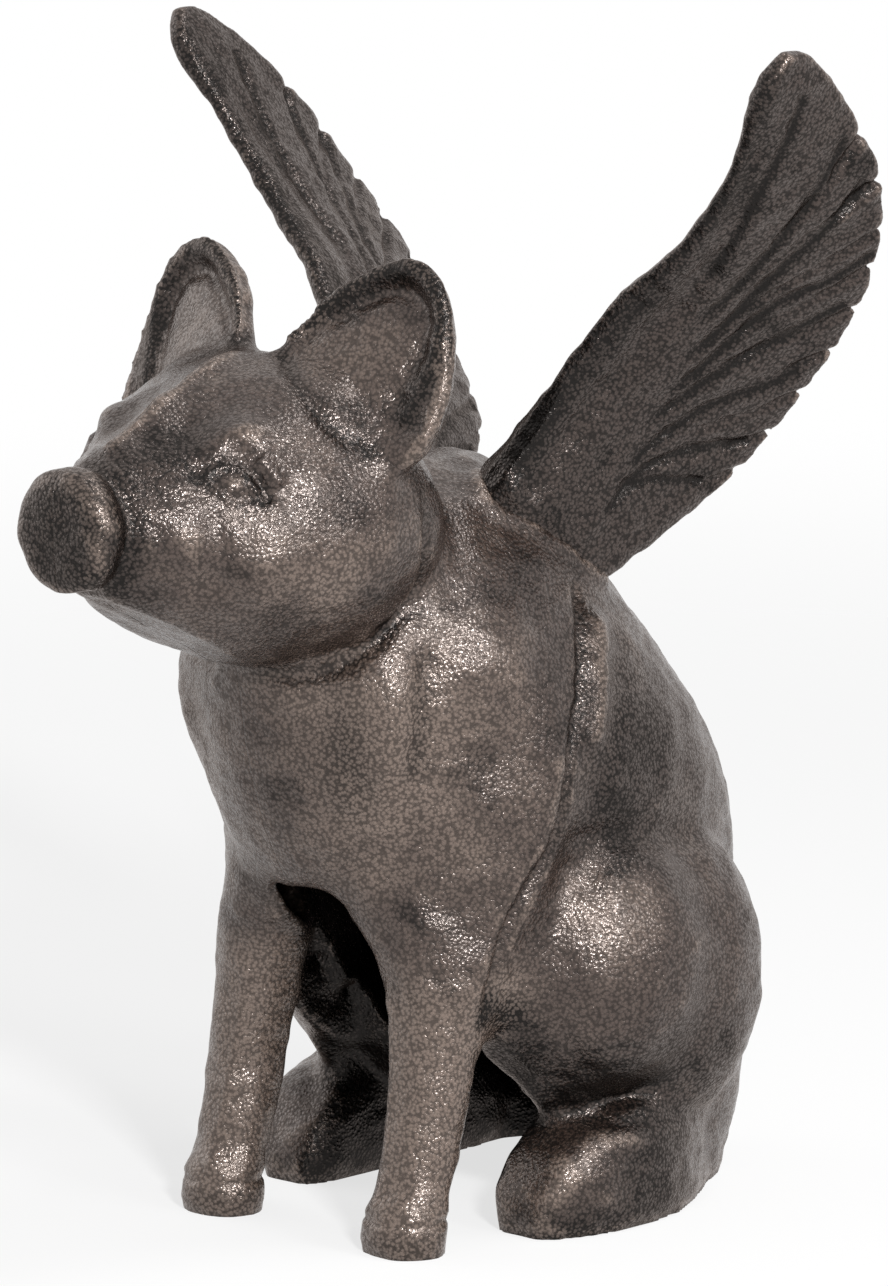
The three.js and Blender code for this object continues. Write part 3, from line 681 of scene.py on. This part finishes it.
NOSE_CREASE = [
    (0, -79, 154.5), (6.5, -79, 153), (10.5, -79, 149), (12, -79, 144), (11.5, -79.5, 138.5),
    (7.5, -80, 132.5), (0, -80.5, 130.5),
]
FACE_RIDGE = [(0, -36, 172), (0, -49.5, 168.5), (0, -59.5, 163.5), (0, -66.5, 159.5), (0, -76, 155)]
LEG_EDGE = [(18.5, -20, 52), (20.5, -20, 40), (21.5, -21, 30), (22.5, -24, 18.5), (22, -28, 8)]
JAW = [(9, -85, 133.5), (9, -74.5, 129), (12, -65, 124), (13.5, -60, 121.5), (12.5, -51, 117)]
# Eyes and ears
EYE = (21.5, -62, 151)
UPPER_LID = [
    (16.5, -65.5, 152.5), (18, -62, 154.5), (20.5, -60, 154), (23, -59.5, 152), (24.5, -58.5, 149),
]
LOWER_LID = [
    (16.5, -65.5, 152.5), (20, -64, 149.5), (22, -62.5, 147.5), (23.5, -60.5, 147.5), (25, -58.5, 148),
]
EYE_FOLD = [(22.5, -58, 153), (24, -57.5, 150.5), (26, -57, 147.5)]
BROW_FOLD = [(22, -57, 156), (24, -55.5, 153.5), (26.5, -55, 150.5)]
EAR_BULGE = (20, -30, 167)
EAR_CREASE = [
    (6.5, -35.5, 172), (13, -40, 168.5), (21, -43, 163.5), (26, -42, 160), (29.5, -39.5, 157),
    (31.5, -36.5, 155.5),
]
EAR_BASE = [(11.5, -41, 169), (20.5, -45.5, 164), (26, -44, 159), (30.5, -39.5, 155), (35, -37, 152)]
EAR_HOLLOW = [(17, -32.5, 174), (24, -31.5, 170), (29, -31.5, 164)]
EAR_RIM = [
    (7.5, -34.5, 173.5), (12, -30, 178), (18, -26.5, 182), (24.5, -24, 185.5), (30.5, -23, 185),
    (34.5, -23.5, 180.5), (35, -25, 175), (34, -26.5, 170), (32.5, -29, 164), (31, -31, 160),
]
EAR_FRONT = (0.25, -0.9, 0.3)
# Places where one form runs smoothly into the next
SHOULDER_FRONT = [
    (0, -32.5, 79), (4, -32, 76.5), (8.5, -27, 69.5), (13.5, -24.5, 69), (23, -20.5, 72.5),
    (29, -16, 77.5), (34, -10.5, 87), (37, -6.5, 96.5), (37.5, -3, 106), (37, 2.5, 113), (39.5, 6, 107),
    (39.5, 10.5, 100.5),
]
FLANK_FRONT = [(40.5, 9, 80), (39.5, 6, 72.6), (37.5, 2, 64.6), (35.5, -1, 55.5), (33, -1, 46)]
ARCH_EDGE = [(33, -7, 46), (32, 2, 44), (31, 8, 40), (31, 13, 34), (32, 18, 26)]
# Wings
WING_VALLEY = [
    (25, 10.5, 140.5), (29, 15, 150), (32, 20.5, 157.5), (38, 25.5, 166), (46, 29, 176.5),
    (54.5, 29.5, 185), (63.5, 27.5, 195.5), (72, 24.5, 207.5), (78, 21, 218),
]
LEADING_BAND = [
    (21.5, 8.5, 145), (26, 12, 155), (30, 17, 164), (36, 21, 173), (45, 24, 183), (54, 24, 193),
    (63, 21, 204), (71, 18, 215), (77, 17, 225),
]
WING_LINES = [
    [(52, 31, 182), (60, 30.5, 190), (68, 29, 200.5), (75.5, 29, 212), (80, 28.5, 221)],
    [(46, 34.5, 173.5), (55.5, 38.5, 182.5), (65.5, 40.5, 193), (74.5, 42, 205), (77.5, 43.5, 212)],
    [(42.5, 35, 167.5), (46.5, 40, 170.5), (59, 43.5, 184.5), (68.5, 49, 193.5), (75, 52.5, 203)],
    [(37.5, 36, 159), (45, 42, 167), (55.5, 48, 178.5), (61.5, 57, 182), (68, 63.5, 188)],
    [(34, 34, 153.5), (39.5, 41, 160), (47, 48.5, 167), (54.5, 57, 173), (60.5, 64, 177.5)],
    [(31.5, 31.5, 145.5), (35.5, 41, 153), (41.5, 48.5, 158.5), (46.5, 57.5, 161), (50, 62, 164)],
    [(30, 30, 140), (32.5, 38.5, 146.5), (36, 49, 149), (38.5, 60.5, 149)],
    [(29, 28, 136), (31.5, 35.5, 143.5), (33.5, 46.5, 142.5), (33.5, 53, 141.5)],
]
WING_FACE = np.array((0.69, -0.72, 0.05)) / np.linalg.norm((0.69, -0.72, 0.05))

# Eggs that round out the hind leg: centre, radii and width of the fillet round them
HIND_LEG = [
    ((24, 18, 52), (16.5, 24, 24), 6),
    ((30, 26, 51), (22, 24, 27), 3),
    ((27, 18.5, 31), (10, 10, 11), 4),
]
HIND_LEG_WALL = 5.0
# How far each half is moved towards the middle, so that the two run together
HALF_GAP = 0.25
# How many cells above the floor the points of the soles lie at most
SOLE_CELLS = 0.6

# Where the fore legs end at the back and start at the top
FORE_LEG_BACK = (2, -4)
FORE_LEG_TOP = (62, 46)
HOOF_TOP = (20, 14)
HOOF_FOOT = (2, 5)
HOOF_LINE = {"height": 6.6, "width": 0.7, "depth": 0.5}

# The flat under the jaw: where it starts and ends along the pig, and how far it reaches across
JAW_FRONT = (-86.5, -83)
JAW_BACK = (-46, -53)
JAW_SIDE = (22, 17)
JAW_DROP = 0.6
JAW_LIFT = 6.0
SNOUT = (-73, -77)

# Outward bend, in millimetres a cell, from which an edge counts as rubbed or as sharp
RUBBED_BEND = (0.012, 0.05)
BODY_SHARP_BEND = (0.05, 0.11)
WING_SHARP_BEND = (0.03, 0.08)
# How much of a sharp edge and of the fore legs smoothing leaves alone, and rounds of smoothing
EDGE_KEPT = 0.9
LEGS_KEPT = 0.65
EAR_ROUNDS = 14
WING_ROUNDS = 60

# Lines cut into the body, or raised where positive: line, height, width, share that fades at each end
BODY_LINES = [
    (JOWL, -1.3, 1.9, (0.25, 0.1)),
    (CHEEK_VALLEY, -0.9, 2.8, (0.2, 0.3)),
    (SHOULDER, -1.3, 1.1, (0.06, 0.08)),
    (RIB, 1.8, 3, (0.2, 0.2)),
    (CHEST_VALLEY, -1.5, 3, (0.2, 0.3)),
    (HAUNCH_TOP, -0.8, 2.8, (0.15, 0.3)),
    (LEDGE, -0.6, 1.8, (0.08, 0.3)),
    (NOSE_CREASE, -1.6, 1.9),
]
BODY_EDGES = [
    (FACE_RIDGE, 2.2, 2.6, (0.15, 0.1)),
    (LEG_EDGE, 1.1, 1.3, (0.12, 0.05)),
]
FACE_LINES = [
    (UPPER_LID, 0.65, 0.8, (0.1, 0.1)),
    (LOWER_LID, 0.35, 0.75, (0.1, 0.1)),
    (EYE_FOLD, -0.6, 1.1, (0.2, 0.2)),
    (BROW_FOLD, 1.3, 1.7, (0.15, 0.2)),
    (EAR_CREASE, -0.9, 1.9, (0.15, 0.15)),
    (EAR_BASE, 0.3, 2.2, (0.1, 0.1)),
]
# The ear's raised rim and the groove inside it: way out from the rim's line, then as above
EAR_RIM_LINES = [
    (3, 1.1, 2, (0.04, 0.06)),
    (-1.2, -1.3, 1.9, (0.06, 0.06)),
]

# Soft swellings, or dips where negative: centre, radii, height
BODY_SWELLINGS = [
    ((26, -38, 133), (12, 14, 14), 1.6),  # jowl
    ((25.5, -58.5, 136.5), (8, 9, 8), 2.2),  # cheek
    ((17.5, -70.5, 141.5), (7, 7, 7), 1.6),  # cheek beside the snout
    ((34, -6.5, 114), (9, 10, 12), 3.4),  # shoulder
    ((26.5, -26.5, 104), (7.5, 7.5, 14), 3.6),  # breast
    ((34.5, -11, 84), (9, 9, 8), 1.4),  # lower shoulder
    ((33, -12.5, 63), (8, 8, 9), -2),  # hollow over the fore leg
    ((42, 8.5, 13), (8, 8, 6), 0.9),  # toes
    ((9, -58, 162), (5, 11, 6), -1.2),  # dip beside the ridge of the face
    ((18.5, -57, 159.5), (6, 8, 4), 2),  # brow
]
FACE_SWELLINGS = [
    (EYE, (5.4, 5.4, 4.6), -1.3),  # socket
    (EYE, (3.2, 3.2, 2.2), 1.4),  # eyeball
    ((18.7, -58.6, 156.8), (3, 3, 1.8), -0.8),  # dip between lid and brow
]
EAR_DOME = ((23, -31, 170), (13, 11, 12), 3.6, (0.4, -0.8, 0.3))

# Painted shade in the creases and along the arch's edge: lines with strength, width and fading ends, then
# patches of painted shade with radii and strength
PAINTED_SHADE_LINES = [
    (EAR_CREASE, 0.6, 2),
    (EYE_FOLD, 0.3, 1.6),
    (NOSE_CREASE, 0.55, 4),
    (CHEST_VALLEY, 0.4, 3.2, (0.1, 0.2)),
    (JOWL, 0.35, 2.4),
    (SHOULDER, 0.4, 1.8),
    (LEDGE, 0.15, 2.2),
    (ARCH_EDGE, 0.8, 4),
    (HAUNCH_TOP, 0.15, 3.5),
    (UPPER_LID, 0.5, 1.8),
    (LOWER_LID, 0.35, 1.6),
]
# Patches of painted shade beside the face's ridge, on the nose's front, the rear flank and hind foot, and
# on the breast
PAINTED_SHADE_PATCHES = [
    ((9, -66, 158), (7, 9, 6), 0.5),  # beside the ridge of the face
    ((0, -87, 143), (15, 6, 15), 0.7),  # nose
    ((40, 28, 94), (20, 20, 20), 0.55),  # flank
    ((45, 35, 20), (20, 25, 22), 0.35),  # hind foot
    ((20, -30, 96), (6, 8, 14), 0.45),  # breast
]
# Soot along the ear's rim: strength, width and fading ends; then how far out from the rim it lies
EAR_STAIN = (1, 3.6, (0.05, 0.05))
EAR_STAIN_SHARE = 0.22
# Soles darker near the floor; painted shade inside the hollow, under its roof and on its faces that look
# back
SOLE_DARKENING = 0.4
INSIDE_PAINTED_SHADE = 0.7
UNDER_PAINTED_SHADE = 0.8
BEHIND_PAINTED_SHADE = 0.7

# Brown wear from handling, and painted light that brightens the spots where highlights fall: centre,
# radii, strength
PAINTED_LIGHT_AND_WEAR = [
    ((24, -22, 96), (22, 22, 28), 0.7),  # breast
    ((24, -48, 134), (16, 18, 13), 0.5),  # cheek
    ((22, -32, 172), (12, 8, 12), 0.4),  # ear
    ((44, 15, 64), (10, 10, 9), 0.5),  # haunch
]
# Fore legs: brown wear, and painted light on their lit fronts
LEG_PAINTED_LIGHT_AND_WEAR = 0.8

# Low and high ends, along X, Y and Z, of the places that are carved finer
FINE_ZONES = {
    "eyes": ((-1, 60), (-70, -50), (143, 162)),
    "ears": ((4, 60), (-48, -18), (150, 250)),
}

# Lumps of the hand-finished skin: size, seed, share
BODY_LUMPS = [(5, 11, 1), (2.4, 12, 0.6)]
WING_LUMPS = [(4, 21, 1), (2.2, 22, 0.5)]
WING_LUMP_HEIGHT = 0.2

# The wing's cuts: depth and width of the valley, width of the fanned lines, fading ends
WING_VALLEY_CUT = (-1.3, 2.6, (0.05, 0.12))
WING_LINE_WIDTH = 0.9
WING_LINE_ENDS = (0.15, 0.02)
# Painted shade in the fanned lines; then the leading band's soot: strength and width
WING_LINE_PAINTED_SHADE = 0.7
WING_BAND_STAIN = (0.5, 4)
WING_DETAIL = 0.9

# How the wing's root runs down on to the body
ROOT_TOP = 152.0
ROOT_REACH = 7.0
ROOT_SINK = 0.4
ROOT_FACING = (0.1, 0.6)

# The body's fillet round the wing's root, and where it may start
FILLET_RISE = 1.6
FILLET_WIDTH = 2.6
FILLET_REACH = 6.0
FILLET_MARGIN = 5.0
FILLET_FROM = (12, 118)


def leg_share(points):
    """1 on the fore legs below the chest, 0 on the rest."""
    return fade(*FORE_LEG_BACK, points[:, 1]) * fade(*FORE_LEG_TOP, points[:, 2])


def flatten_jaw(skin):
    """Cuts the underside of the jaw flat, which leaves a crisp edge along the mouth."""
    jaw = np.asarray(JAW)
    x, y, z = skin.points.T
    floor = np.interp(y, jaw[:, 1], jaw[:, 2]) - JAW_DROP
    share = fade(*JAW_FRONT, y) * fade(*JAW_BACK, y) * fade(*JAW_SIDE, np.abs(x))
    lift = np.clip(floor - z, 0.0, JAW_LIFT) * fade(2 * JAW_LIFT, JAW_LIFT, floor - z)
    skin.points[:, 2] += share * lift


def carve_body(carver):
    """Cuts the pig's creases and raises its larger forms."""
    for line, height, width, *ends in BODY_LINES:
        carver.line(line, height, width, *ends)
    for line, height, width, ends in BODY_EDGES:
        carver.edge(line, height, width, ends)
    for centre, radii, height in BODY_SWELLINGS:
        carver.bump(centre, radii, height)
    carver.bump(*EAR_DOME)


def carve_face(carver):
    """Cuts the eyes and ears, and the line round the hooves."""
    for centre, radii, height in FACE_SWELLINGS:
        carver.bump(centre, radii, height)
    for line, height, width, ends in FACE_LINES:
        carver.line(line, height, width, ends)
    rim = np.asarray(EAR_RIM)
    away = rim - np.asarray(EAR_BULGE)
    away /= np.linalg.norm(away, axis=1, keepdims=True)
    for shift, height, width, ends in EAR_RIM_LINES:
        carver.line(rim + shift * away, height, width, ends, EAR_FRONT)
    off = (carver.points[:, 2] - HOOF_LINE["height"]) / HOOF_LINE["width"]
    carver.out -= HOOF_LINE["depth"] * leg_share(carver.points) * np.exp(-off ** 2)


def needs_detail(points):
    """Which places carry the eyes and the ears."""
    folded = np.column_stack([np.abs(points[:, 0]), points[:, 1:]])
    chosen = np.zeros(len(points), bool)
    for zone in FINE_ZONES.values():
        low, high = np.transpose(zone)
        chosen |= ((folded > low) & (folded < high)).all(1)
    return chosen


def painted_light_and_wear(points):
    """How far the coat is brown at each point, from handling's wear and from painted light on the spots
    where highlights fall.
    """
    folded = np.column_stack([np.abs(points[:, 0]), points[:, 1:]])
    share = LEG_PAINTED_LIGHT_AND_WEAR * leg_share(points)
    for centre, radii, much in PAINTED_LIGHT_AND_WEAR:
        share = np.maximum(share, much * np.exp(-(((folded - centre) / radii) ** 2).sum(1)))
    return share


def painted_hollow_shade_and_soles(points, normals):
    """Darker soles near the floor, and painted shade inside the hollow, under its roof and on its faces
    that look back.
    """
    x, y, z = points.T
    within = fade(-6.0, 2.0, y)
    inside = fade(-0.2, -0.6, normals[:, 0]) * within * fade(5.0, 9.0, x) * fade(100.0, 90.0, z)
    under = fade(-0.3, -0.8, normals[:, 2]) * within * fade(110.0, 100.0, z)
    behind = fade(-0.2, -0.6, normals[:, 1]) * fade(4.0, 10.0, y) * fade(34.0, 28.0, x)
    behind *= fade(14.0, 24.0, z) * fade(70.0, 62.0, z)
    soles = fade(9.0, 2.0, z)
    return SOLE_DARKENING * soles + INSIDE_PAINTED_SHADE * inside + UNDER_PAINTED_SHADE * under + BEHIND_PAINTED_SHADE * behind


def paint_soot_and_shade_on_body(stain):
    """How dark the coat is at each point: soot on the ear's rim, and painted shade in the creases, along
    the arch's edge, on the less lit patches and in the hollow.
    """
    rim = np.asarray(EAR_RIM)
    strength, width, ends = EAR_STAIN
    stain.line(rim + EAR_STAIN_SHARE * (rim - np.asarray(EAR_BULGE)), strength, width, ends, EAR_FRONT)
    for line, strength, width, *ends in PAINTED_SHADE_LINES:
        stain.line(line, strength, width, *ends)
    for centre, radii, strength in PAINTED_SHADE_PATCHES:
        stain.bump(centre, radii, strength)
    return np.clip(stain.out + painted_hollow_shade_and_soles(stain.points, stain.normals), 0.0, 1.0)


def whole_body(settings):
    """Both halves run together, the hind legs rounded out and the screw heads left open."""
    low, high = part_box("left_body_casting")
    reach = np.array([high[0], 0, 0])
    field = Field((np.array(low) * (0, 1, 1) - reach) * MM, np.array(high) * MM, settings.cell * MM)
    for node in BODY_NODES.values():
        points, triangles = solid_arrays(node)
        points[:, 0] -= np.sign(points[:, 0].mean()) * HALF_GAP
        field.join(points, triangles)
    for (x, y, z), radii, blend in HIND_LEG:
        for side in (-x, x):
            field.swell((side, y, z), radii, HIND_LEG_WALL, blend)
    for screw in BODY_SCREWS:
        low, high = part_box(screw)
        field.bore(np.array(low) * MM, np.array(high) * MM, settings.screw_clearance * MM)
    return field.skin().largest()


def soften_body(skin, settings):
    """Wears the edges soft, and runs the forms into each other where the pig is smooth."""
    skin.relax(4)
    legs = leg_share(skin.points)
    sharp = fade(*BODY_SHARP_BEND, skin.edge_sharpness())
    skin.relax(settings.soften, (1 - EDGE_KEPT * sharp) * (1 - LEGS_KEPT * legs), 0.6)
    height = skin.points[:, 2]
    skin.relax(settings.soften, legs * fade(*HOOF_TOP, height) * fade(*HOOF_FOOT, height))
    carver = Carver(skin.points, skin.normals())
    skin.relax(settings.blend, carver.weight(SHOULDER_FRONT, 7.0))
    skin.relax(settings.blend, 0.7 * carver.weight(EAR_BASE[2:], 4.0))
    skin.relax(settings.blend, 0.8 * carver.weight(EAR_HOLLOW, 6.0))
    skin.relax(settings.soften, carver.weight(ARCH_EDGE, 5.0))
    skin.relax(settings.blend // 2, carver.weight(FLANK_FRONT, 5.0))
    skin.relax(settings.soften, carver.weight(LEDGE, 4.0))
    skin.relax(settings.soften, fade(*SNOUT, skin.points[:, 1]))
    flatten_jaw(skin)
    skin.relax(2, 0.5)


def sculpt_body(skin, settings):
    """Carves the larger features and the swells and dips of a hand-finished skin."""
    carver = Carver(skin.points, skin.normals())
    carve_body(carver)
    rise = carver.out + wing_fillet(skin) + lumps(skin.points, BODY_LUMPS) * settings.lump_height * MM
    skin.points += skin.normals() * rise[:, None]
    skin.relax(1, 0.5)
    skin.relax(EAR_ROUNDS, carver.weight(EAR_CREASE, 5.0))


def detail_body(mesh, chosen):
    """Splits the chosen places finer, carves the face there and marks the soot and the painted shade."""
    refine(mesh, chosen)
    points, normals = mesh_arrays(mesh)
    carver = Carver(points, normals)
    carve_face(carver)
    points += normals * carver.out[:, None]
    mesh.vertices.foreach_set("co", (points / MM).astype(np.float32).ravel())
    mark(mesh, "stain", paint_soot_and_shade_on_body(Carver(*mesh_arrays(mesh))))


def wing_fillet(skin):
    """How far the body rises to meet the roots of the wings, so that no slit shows."""
    points, triangles = solid_arrays("left_wing")
    tree = BVHTree.FromPolygons(points.tolist(), triangles.tolist())
    p = skin.points * np.where(skin.points[:, :1] < 0, (-1.0, 1.0, 1.0), 1.0)
    low, high = points.min(0) - FILLET_MARGIN, points.max(0) + FILLET_MARGIN
    near = ((p > low) & (p < high)).all(1) & (p[:, 0] > FILLET_FROM[0]) & (p[:, 2] > FILLET_FROM[1])
    rise = np.zeros(len(p))
    for i in np.flatnonzero(near):
        gap = tree.find_nearest(p[i], FILLET_REACH)[3]
        if gap is not None:
            rise[i] = FILLET_RISE * math.exp(-(gap / FILLET_WIDTH) ** 2)
    return rise


def wing_form(settings):
    """The left wing's skin, with the steps between its feathers made crisper."""
    points, triangles = solid_arrays("left_wing")
    field = Field(points.min(0), points.max(0), settings.cell * MM)
    field.join(points, triangles)
    skin = field.skin()
    skin.relax(2)
    sharp = fade(*WING_SHARP_BEND, skin.edge_sharpness())
    crisp = skin.points.copy()
    skin.relax(WING_ROUNDS, 1 - EDGE_KEPT * sharp, 0.5)
    detail = crisp - skin.points
    length = np.linalg.norm(detail, axis=1, keepdims=True)
    detail *= np.minimum(1, WING_DETAIL / np.maximum(length, 1e-9))
    skin.points = crisp + settings.crisp * (1 - sharp[:, None]) * detail
    skin.relax(5)
    return skin


def carve_wing(skin, settings):
    """Sets off the thick leading band of the left wing, fans lines over it and roughens its skin."""
    carver = Carver(skin.points, skin.normals())
    height, width, ends = WING_VALLEY_CUT
    carver.line(WING_VALLEY, height, width, ends, None, WING_FACE)
    for line in WING_LINES:
        carver.line(line, -settings.line_depth * MM, WING_LINE_WIDTH, WING_LINE_ENDS, None, WING_FACE)
    rise = carver.out + WING_LUMP_HEIGHT * lumps(skin.points, WING_LUMPS)
    skin.points += carver.normals * rise[:, None]


def paint_soot_and_shade_on_wing(stain):
    """How dark the coat is at each point of the left wing: soot along the leading band and painted shade
    in the fanned lines.
    """
    stain.line(LEADING_BAND, *WING_BAND_STAIN)
    for line in WING_LINES:
        stain.line(line, WING_LINE_PAINTED_SHADE, WING_LINE_WIDTH, WING_LINE_ENDS, None, WING_FACE)
    return np.clip(stain.out, 0.0, 1.0)


def seat_root(skin):
    """Runs the root of the left wing down on to the finished body, so that no slit shows."""
    body = bpy.data.objects["left_body_casting_skin"].data
    points = mesh_arrays(body)[0]
    tree = BVHTree.FromPolygons(points.tolist(), [tuple(p.vertices) for p in body.polygons])
    normals = skin.normals()
    for i in np.flatnonzero(skin.points[:, 2] < ROOT_TOP):
        place, _, _, gap = tree.find_nearest(Vector(skin.points[i]), ROOT_REACH)
        if place is None or gap < 1e-6:
            continue
        ahead = (np.array(place) - skin.points[i]) / gap
        skin.points[i] += ahead * (gap + ROOT_SINK) * fade(*ROOT_FACING, float(normals[i] @ ahead))


# The stage, in metres

FLOOR_RADIUS = 1.6
FLOOR_FADE = (0.35, 1.2)
FLOOR_SPECK_SIZE = 0.004
FLOOR_SPECK = (0.86, 0.86, 0.86)
SENSOR_WIDTH = 36.0
# Soft boxes: name, place, edge length and the setting that holds the power
LAMPS = [
    ("key_softbox", (1.16, -0.64, 0.82), 0.17, "key_power"),
    ("side_softbox", (1.25, 0.1, 0.62), 0.3, "side_power"),
    ("top_softbox", (0.35, 0.3, 1.25), 0.3, "top_power"),
    ("fill_softbox", (-1.2, -0.45, 0.6), 0.9, "fill_power"),
]


# Operators

class DOORSTOP_OT_castings(bpy.types.Operator):
    """Sculpt the two hollow halves of the pig"""

    bl_idname = "doorstop.castings"
    bl_label = "Body castings"

    def execute(self, context):
        settings = context.scene.doorstop_casting
        skin = whole_body(settings)
        soles = skin.points[:, 2] < SOLE_CELLS * settings.cell * MM
        soften_body(skin, settings)
        sculpt_body(skin, settings)
        skin.points[:, 2] = np.where(soles, 0.0, np.maximum(skin.points[:, 2], 0.0))
        worn = np.maximum(skin.wear(), painted_light_and_wear(skin.points))
        whole = mesh_object("pig_whole", skin.points, skin.quads, worn=worn)
        detail_body(whole.data, needs_detail(skin.points))
        coat = iron_coat("iron_body", context.scene.doorstop_finish, 0.0)
        for sign, node in BODY_NODES.items():
            half = half_of(whole, f"{node}_skin", sign)
            stands_for(half, node, coat)
        bpy.data.objects.remove(whole)
        return {"FINISHED"}


class DOORSTOP_OT_wings(bpy.types.Operator):
    """Feather the two wings"""

    bl_idname = "doorstop.wings"
    bl_label = "Wings"

    def execute(self, context):
        settings = context.scene.doorstop_wing
        finish = context.scene.doorstop_finish
        coat = iron_coat("iron_wing", finish, finish.wing_soot)
        skin = wing_form(settings)
        carve_wing(skin, settings)
        seat_root(skin)
        worn = skin.wear()
        stain = paint_soot_and_shade_on_wing(Carver(skin.points, skin.normals()))
        for sign, node in WING_NODES.items():
            faces = skin.quads if sign > 0 else skin.quads[:, ::-1]
            points = skin.points * (sign, 1, 1)
            wing = mesh_object(f"{node}_skin", points, faces, worn=worn, stain=stain)
            stands_for(wing, node, coat)
        return {"FINISHED"}


class DOORSTOP_OT_hardware(bpy.types.Operator):
    """Finish the screws and washers that hold the castings together"""

    bl_idname = "doorstop.hardware"
    bl_label = "Screws and washers"

    def execute(self, context):
        coat = screw_coat("screw_steel", context.scene.doorstop_finish)
        for name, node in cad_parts.items():
            if "screw" in name or "washer" in name:
                for place in node.material_slots:
                    place.material = coat
                if not node.material_slots:
                    node.data.materials.append(coat)
        return {"FINISHED"}


class DOORSTOP_OT_stage(bpy.types.Operator):
    """Set up the floor, the lamps and the camera"""

    bl_idname = "doorstop.stage"
    bl_label = "Stage"

    def execute(self, context):
        settings = context.scene.doorstop_stage
        scene = context.scene
        scene.view_settings.view_transform = "Standard"
        self.floor(settings)
        self.world(scene, settings)
        target = Vector(settings.target)
        for name, place, size, power in LAMPS:
            self.lamp(name, place, target, size, getattr(settings, power))
        data = bpy.data.cameras.new("camera")
        data.lens = settings.lens
        data.sensor_width = SENSOR_WIDTH
        scene.camera = placed("camera", data)
        self.aim(scene.camera, settings.eye, target)
        return {"FINISHED"}

    def floor(self, settings):
        """Round pale floor that fades into the white room."""
        mesh = bpy.data.meshes.new("floor")
        form = bmesh.new()
        bmesh.ops.create_circle(form, cap_ends=True, segments=96, radius=FLOOR_RADIUS)
        form.to_mesh(mesh)
        form.free()
        floor = placed("floor", mesh)
        coat = Coat(bpy.data.materials.new("floor_paper"))
        place = coat.node("ShaderNodeTexCoord", {}, {}, out="Object")
        reach = coat.node("ShaderNodeVectorMath", {"operation": "LENGTH"}, [place], out="Value")
        speck = coat.noise(place, FLOOR_SPECK_SIZE, 2.0)
        colour = coat.mix(speck * 0.03, settings.floor, FLOOR_SPECK)
        paper = coat.node("ShaderNodeBsdfDiffuse", {}, {"Color": colour})
        white = coat.node("ShaderNodeEmission", {}, {"Color": WHITE, "Strength": 1.0})
        paper = coat.node("ShaderNodeMixShader", {}, [coat.shown() * settings.glow, paper, white])
        clear = coat.node("ShaderNodeBsdfTransparent", {}, {})
        both = coat.node("ShaderNodeMixShader", {}, [reach.ramp(*FLOOR_FADE), paper, clear])
        coat.node("ShaderNodeOutputMaterial", {}, {"Surface": both})
        mesh.materials.append(coat.holder)

    def world(self, scene, settings):
        """Even white room: plain white where it is seen or mirrored, softer as a light."""
        scene.world = bpy.data.worlds.new("room")
        coat = Coat(scene.world)
        light = coat.node("ShaderNodeBackground", {}, {"Color": WHITE, "Strength": settings.sky})
        seen = coat.node("ShaderNodeBackground", {}, {"Color": WHITE, "Strength": 1.0})
        both = coat.node("ShaderNodeMixShader", {}, [coat.shown(), light, seen])
        coat.node("ShaderNodeOutputWorld", {}, {"Surface": both})

    def lamp(self, name, place, target, size, power):
        """Square soft box that faces the pig."""
        data = bpy.data.lights.new(name, "AREA")
        data.energy = power
        data.size = size
        self.aim(placed(name, data), place, target)

    def aim(self, thing, place, target):
        """Puts a lamp or the camera in its place and turns it to the target."""
        thing.location = place
        thing.rotation_euler = (target - thing.location).to_track_quat("-Z", "Y").to_euler()


class DOORSTOP_PT_panel(bpy.types.Panel):
    """Lists the steps that dress the doorstop"""

    bl_idname = "DOORSTOP_PT_panel"
    bl_label = "Pig doorstop"
    bl_space_type = "VIEW_3D"
    bl_region_type = "UI"
    bl_category = "Doorstop"

    def draw(self, context):
        for group, operator in PANEL_ROWS:
            box = self.layout.box()
            settings = getattr(context.scene, group)
            for name in settings.__annotations__:
                box.prop(settings, name)
            box.operator(operator.bl_idname)


GROUPS = {
    "doorstop_casting": CastingSettings,
    "doorstop_wing": WingSettings,
    "doorstop_finish": FinishSettings,
    "doorstop_stage": StageSettings,
}
PANEL_ROWS = [
    ("doorstop_finish", DOORSTOP_OT_hardware),
    ("doorstop_casting", DOORSTOP_OT_castings),
    ("doorstop_wing", DOORSTOP_OT_wings),
    ("doorstop_stage", DOORSTOP_OT_stage),
]
CLASSES = [*GROUPS.values(), DOORSTOP_OT_castings, DOORSTOP_OT_wings, DOORSTOP_OT_hardware,
           DOORSTOP_OT_stage, DOORSTOP_PT_panel]


def register():
    """Makes the settings, operators and panel known."""
    for cls in CLASSES:
        bpy.utils.register_class(cls)
    for name, group in GROUPS.items():
        setattr(bpy.types.Scene, name, PointerProperty(type=group))


def unregister():
    """Takes the settings, operators and panel away again."""
    for name in GROUPS:
        delattr(bpy.types.Scene, name)
    for cls in reversed(CLASSES):
        bpy.utils.unregister_class(cls)


def main():
    """Dresses the doorstop step by step."""
    register()
    bpy.ops.doorstop.castings()
    bpy.ops.doorstop.wings()
    bpy.ops.doorstop.hardware()
    bpy.ops.doorstop.stage()


if __name__ == "__main__":
    main()
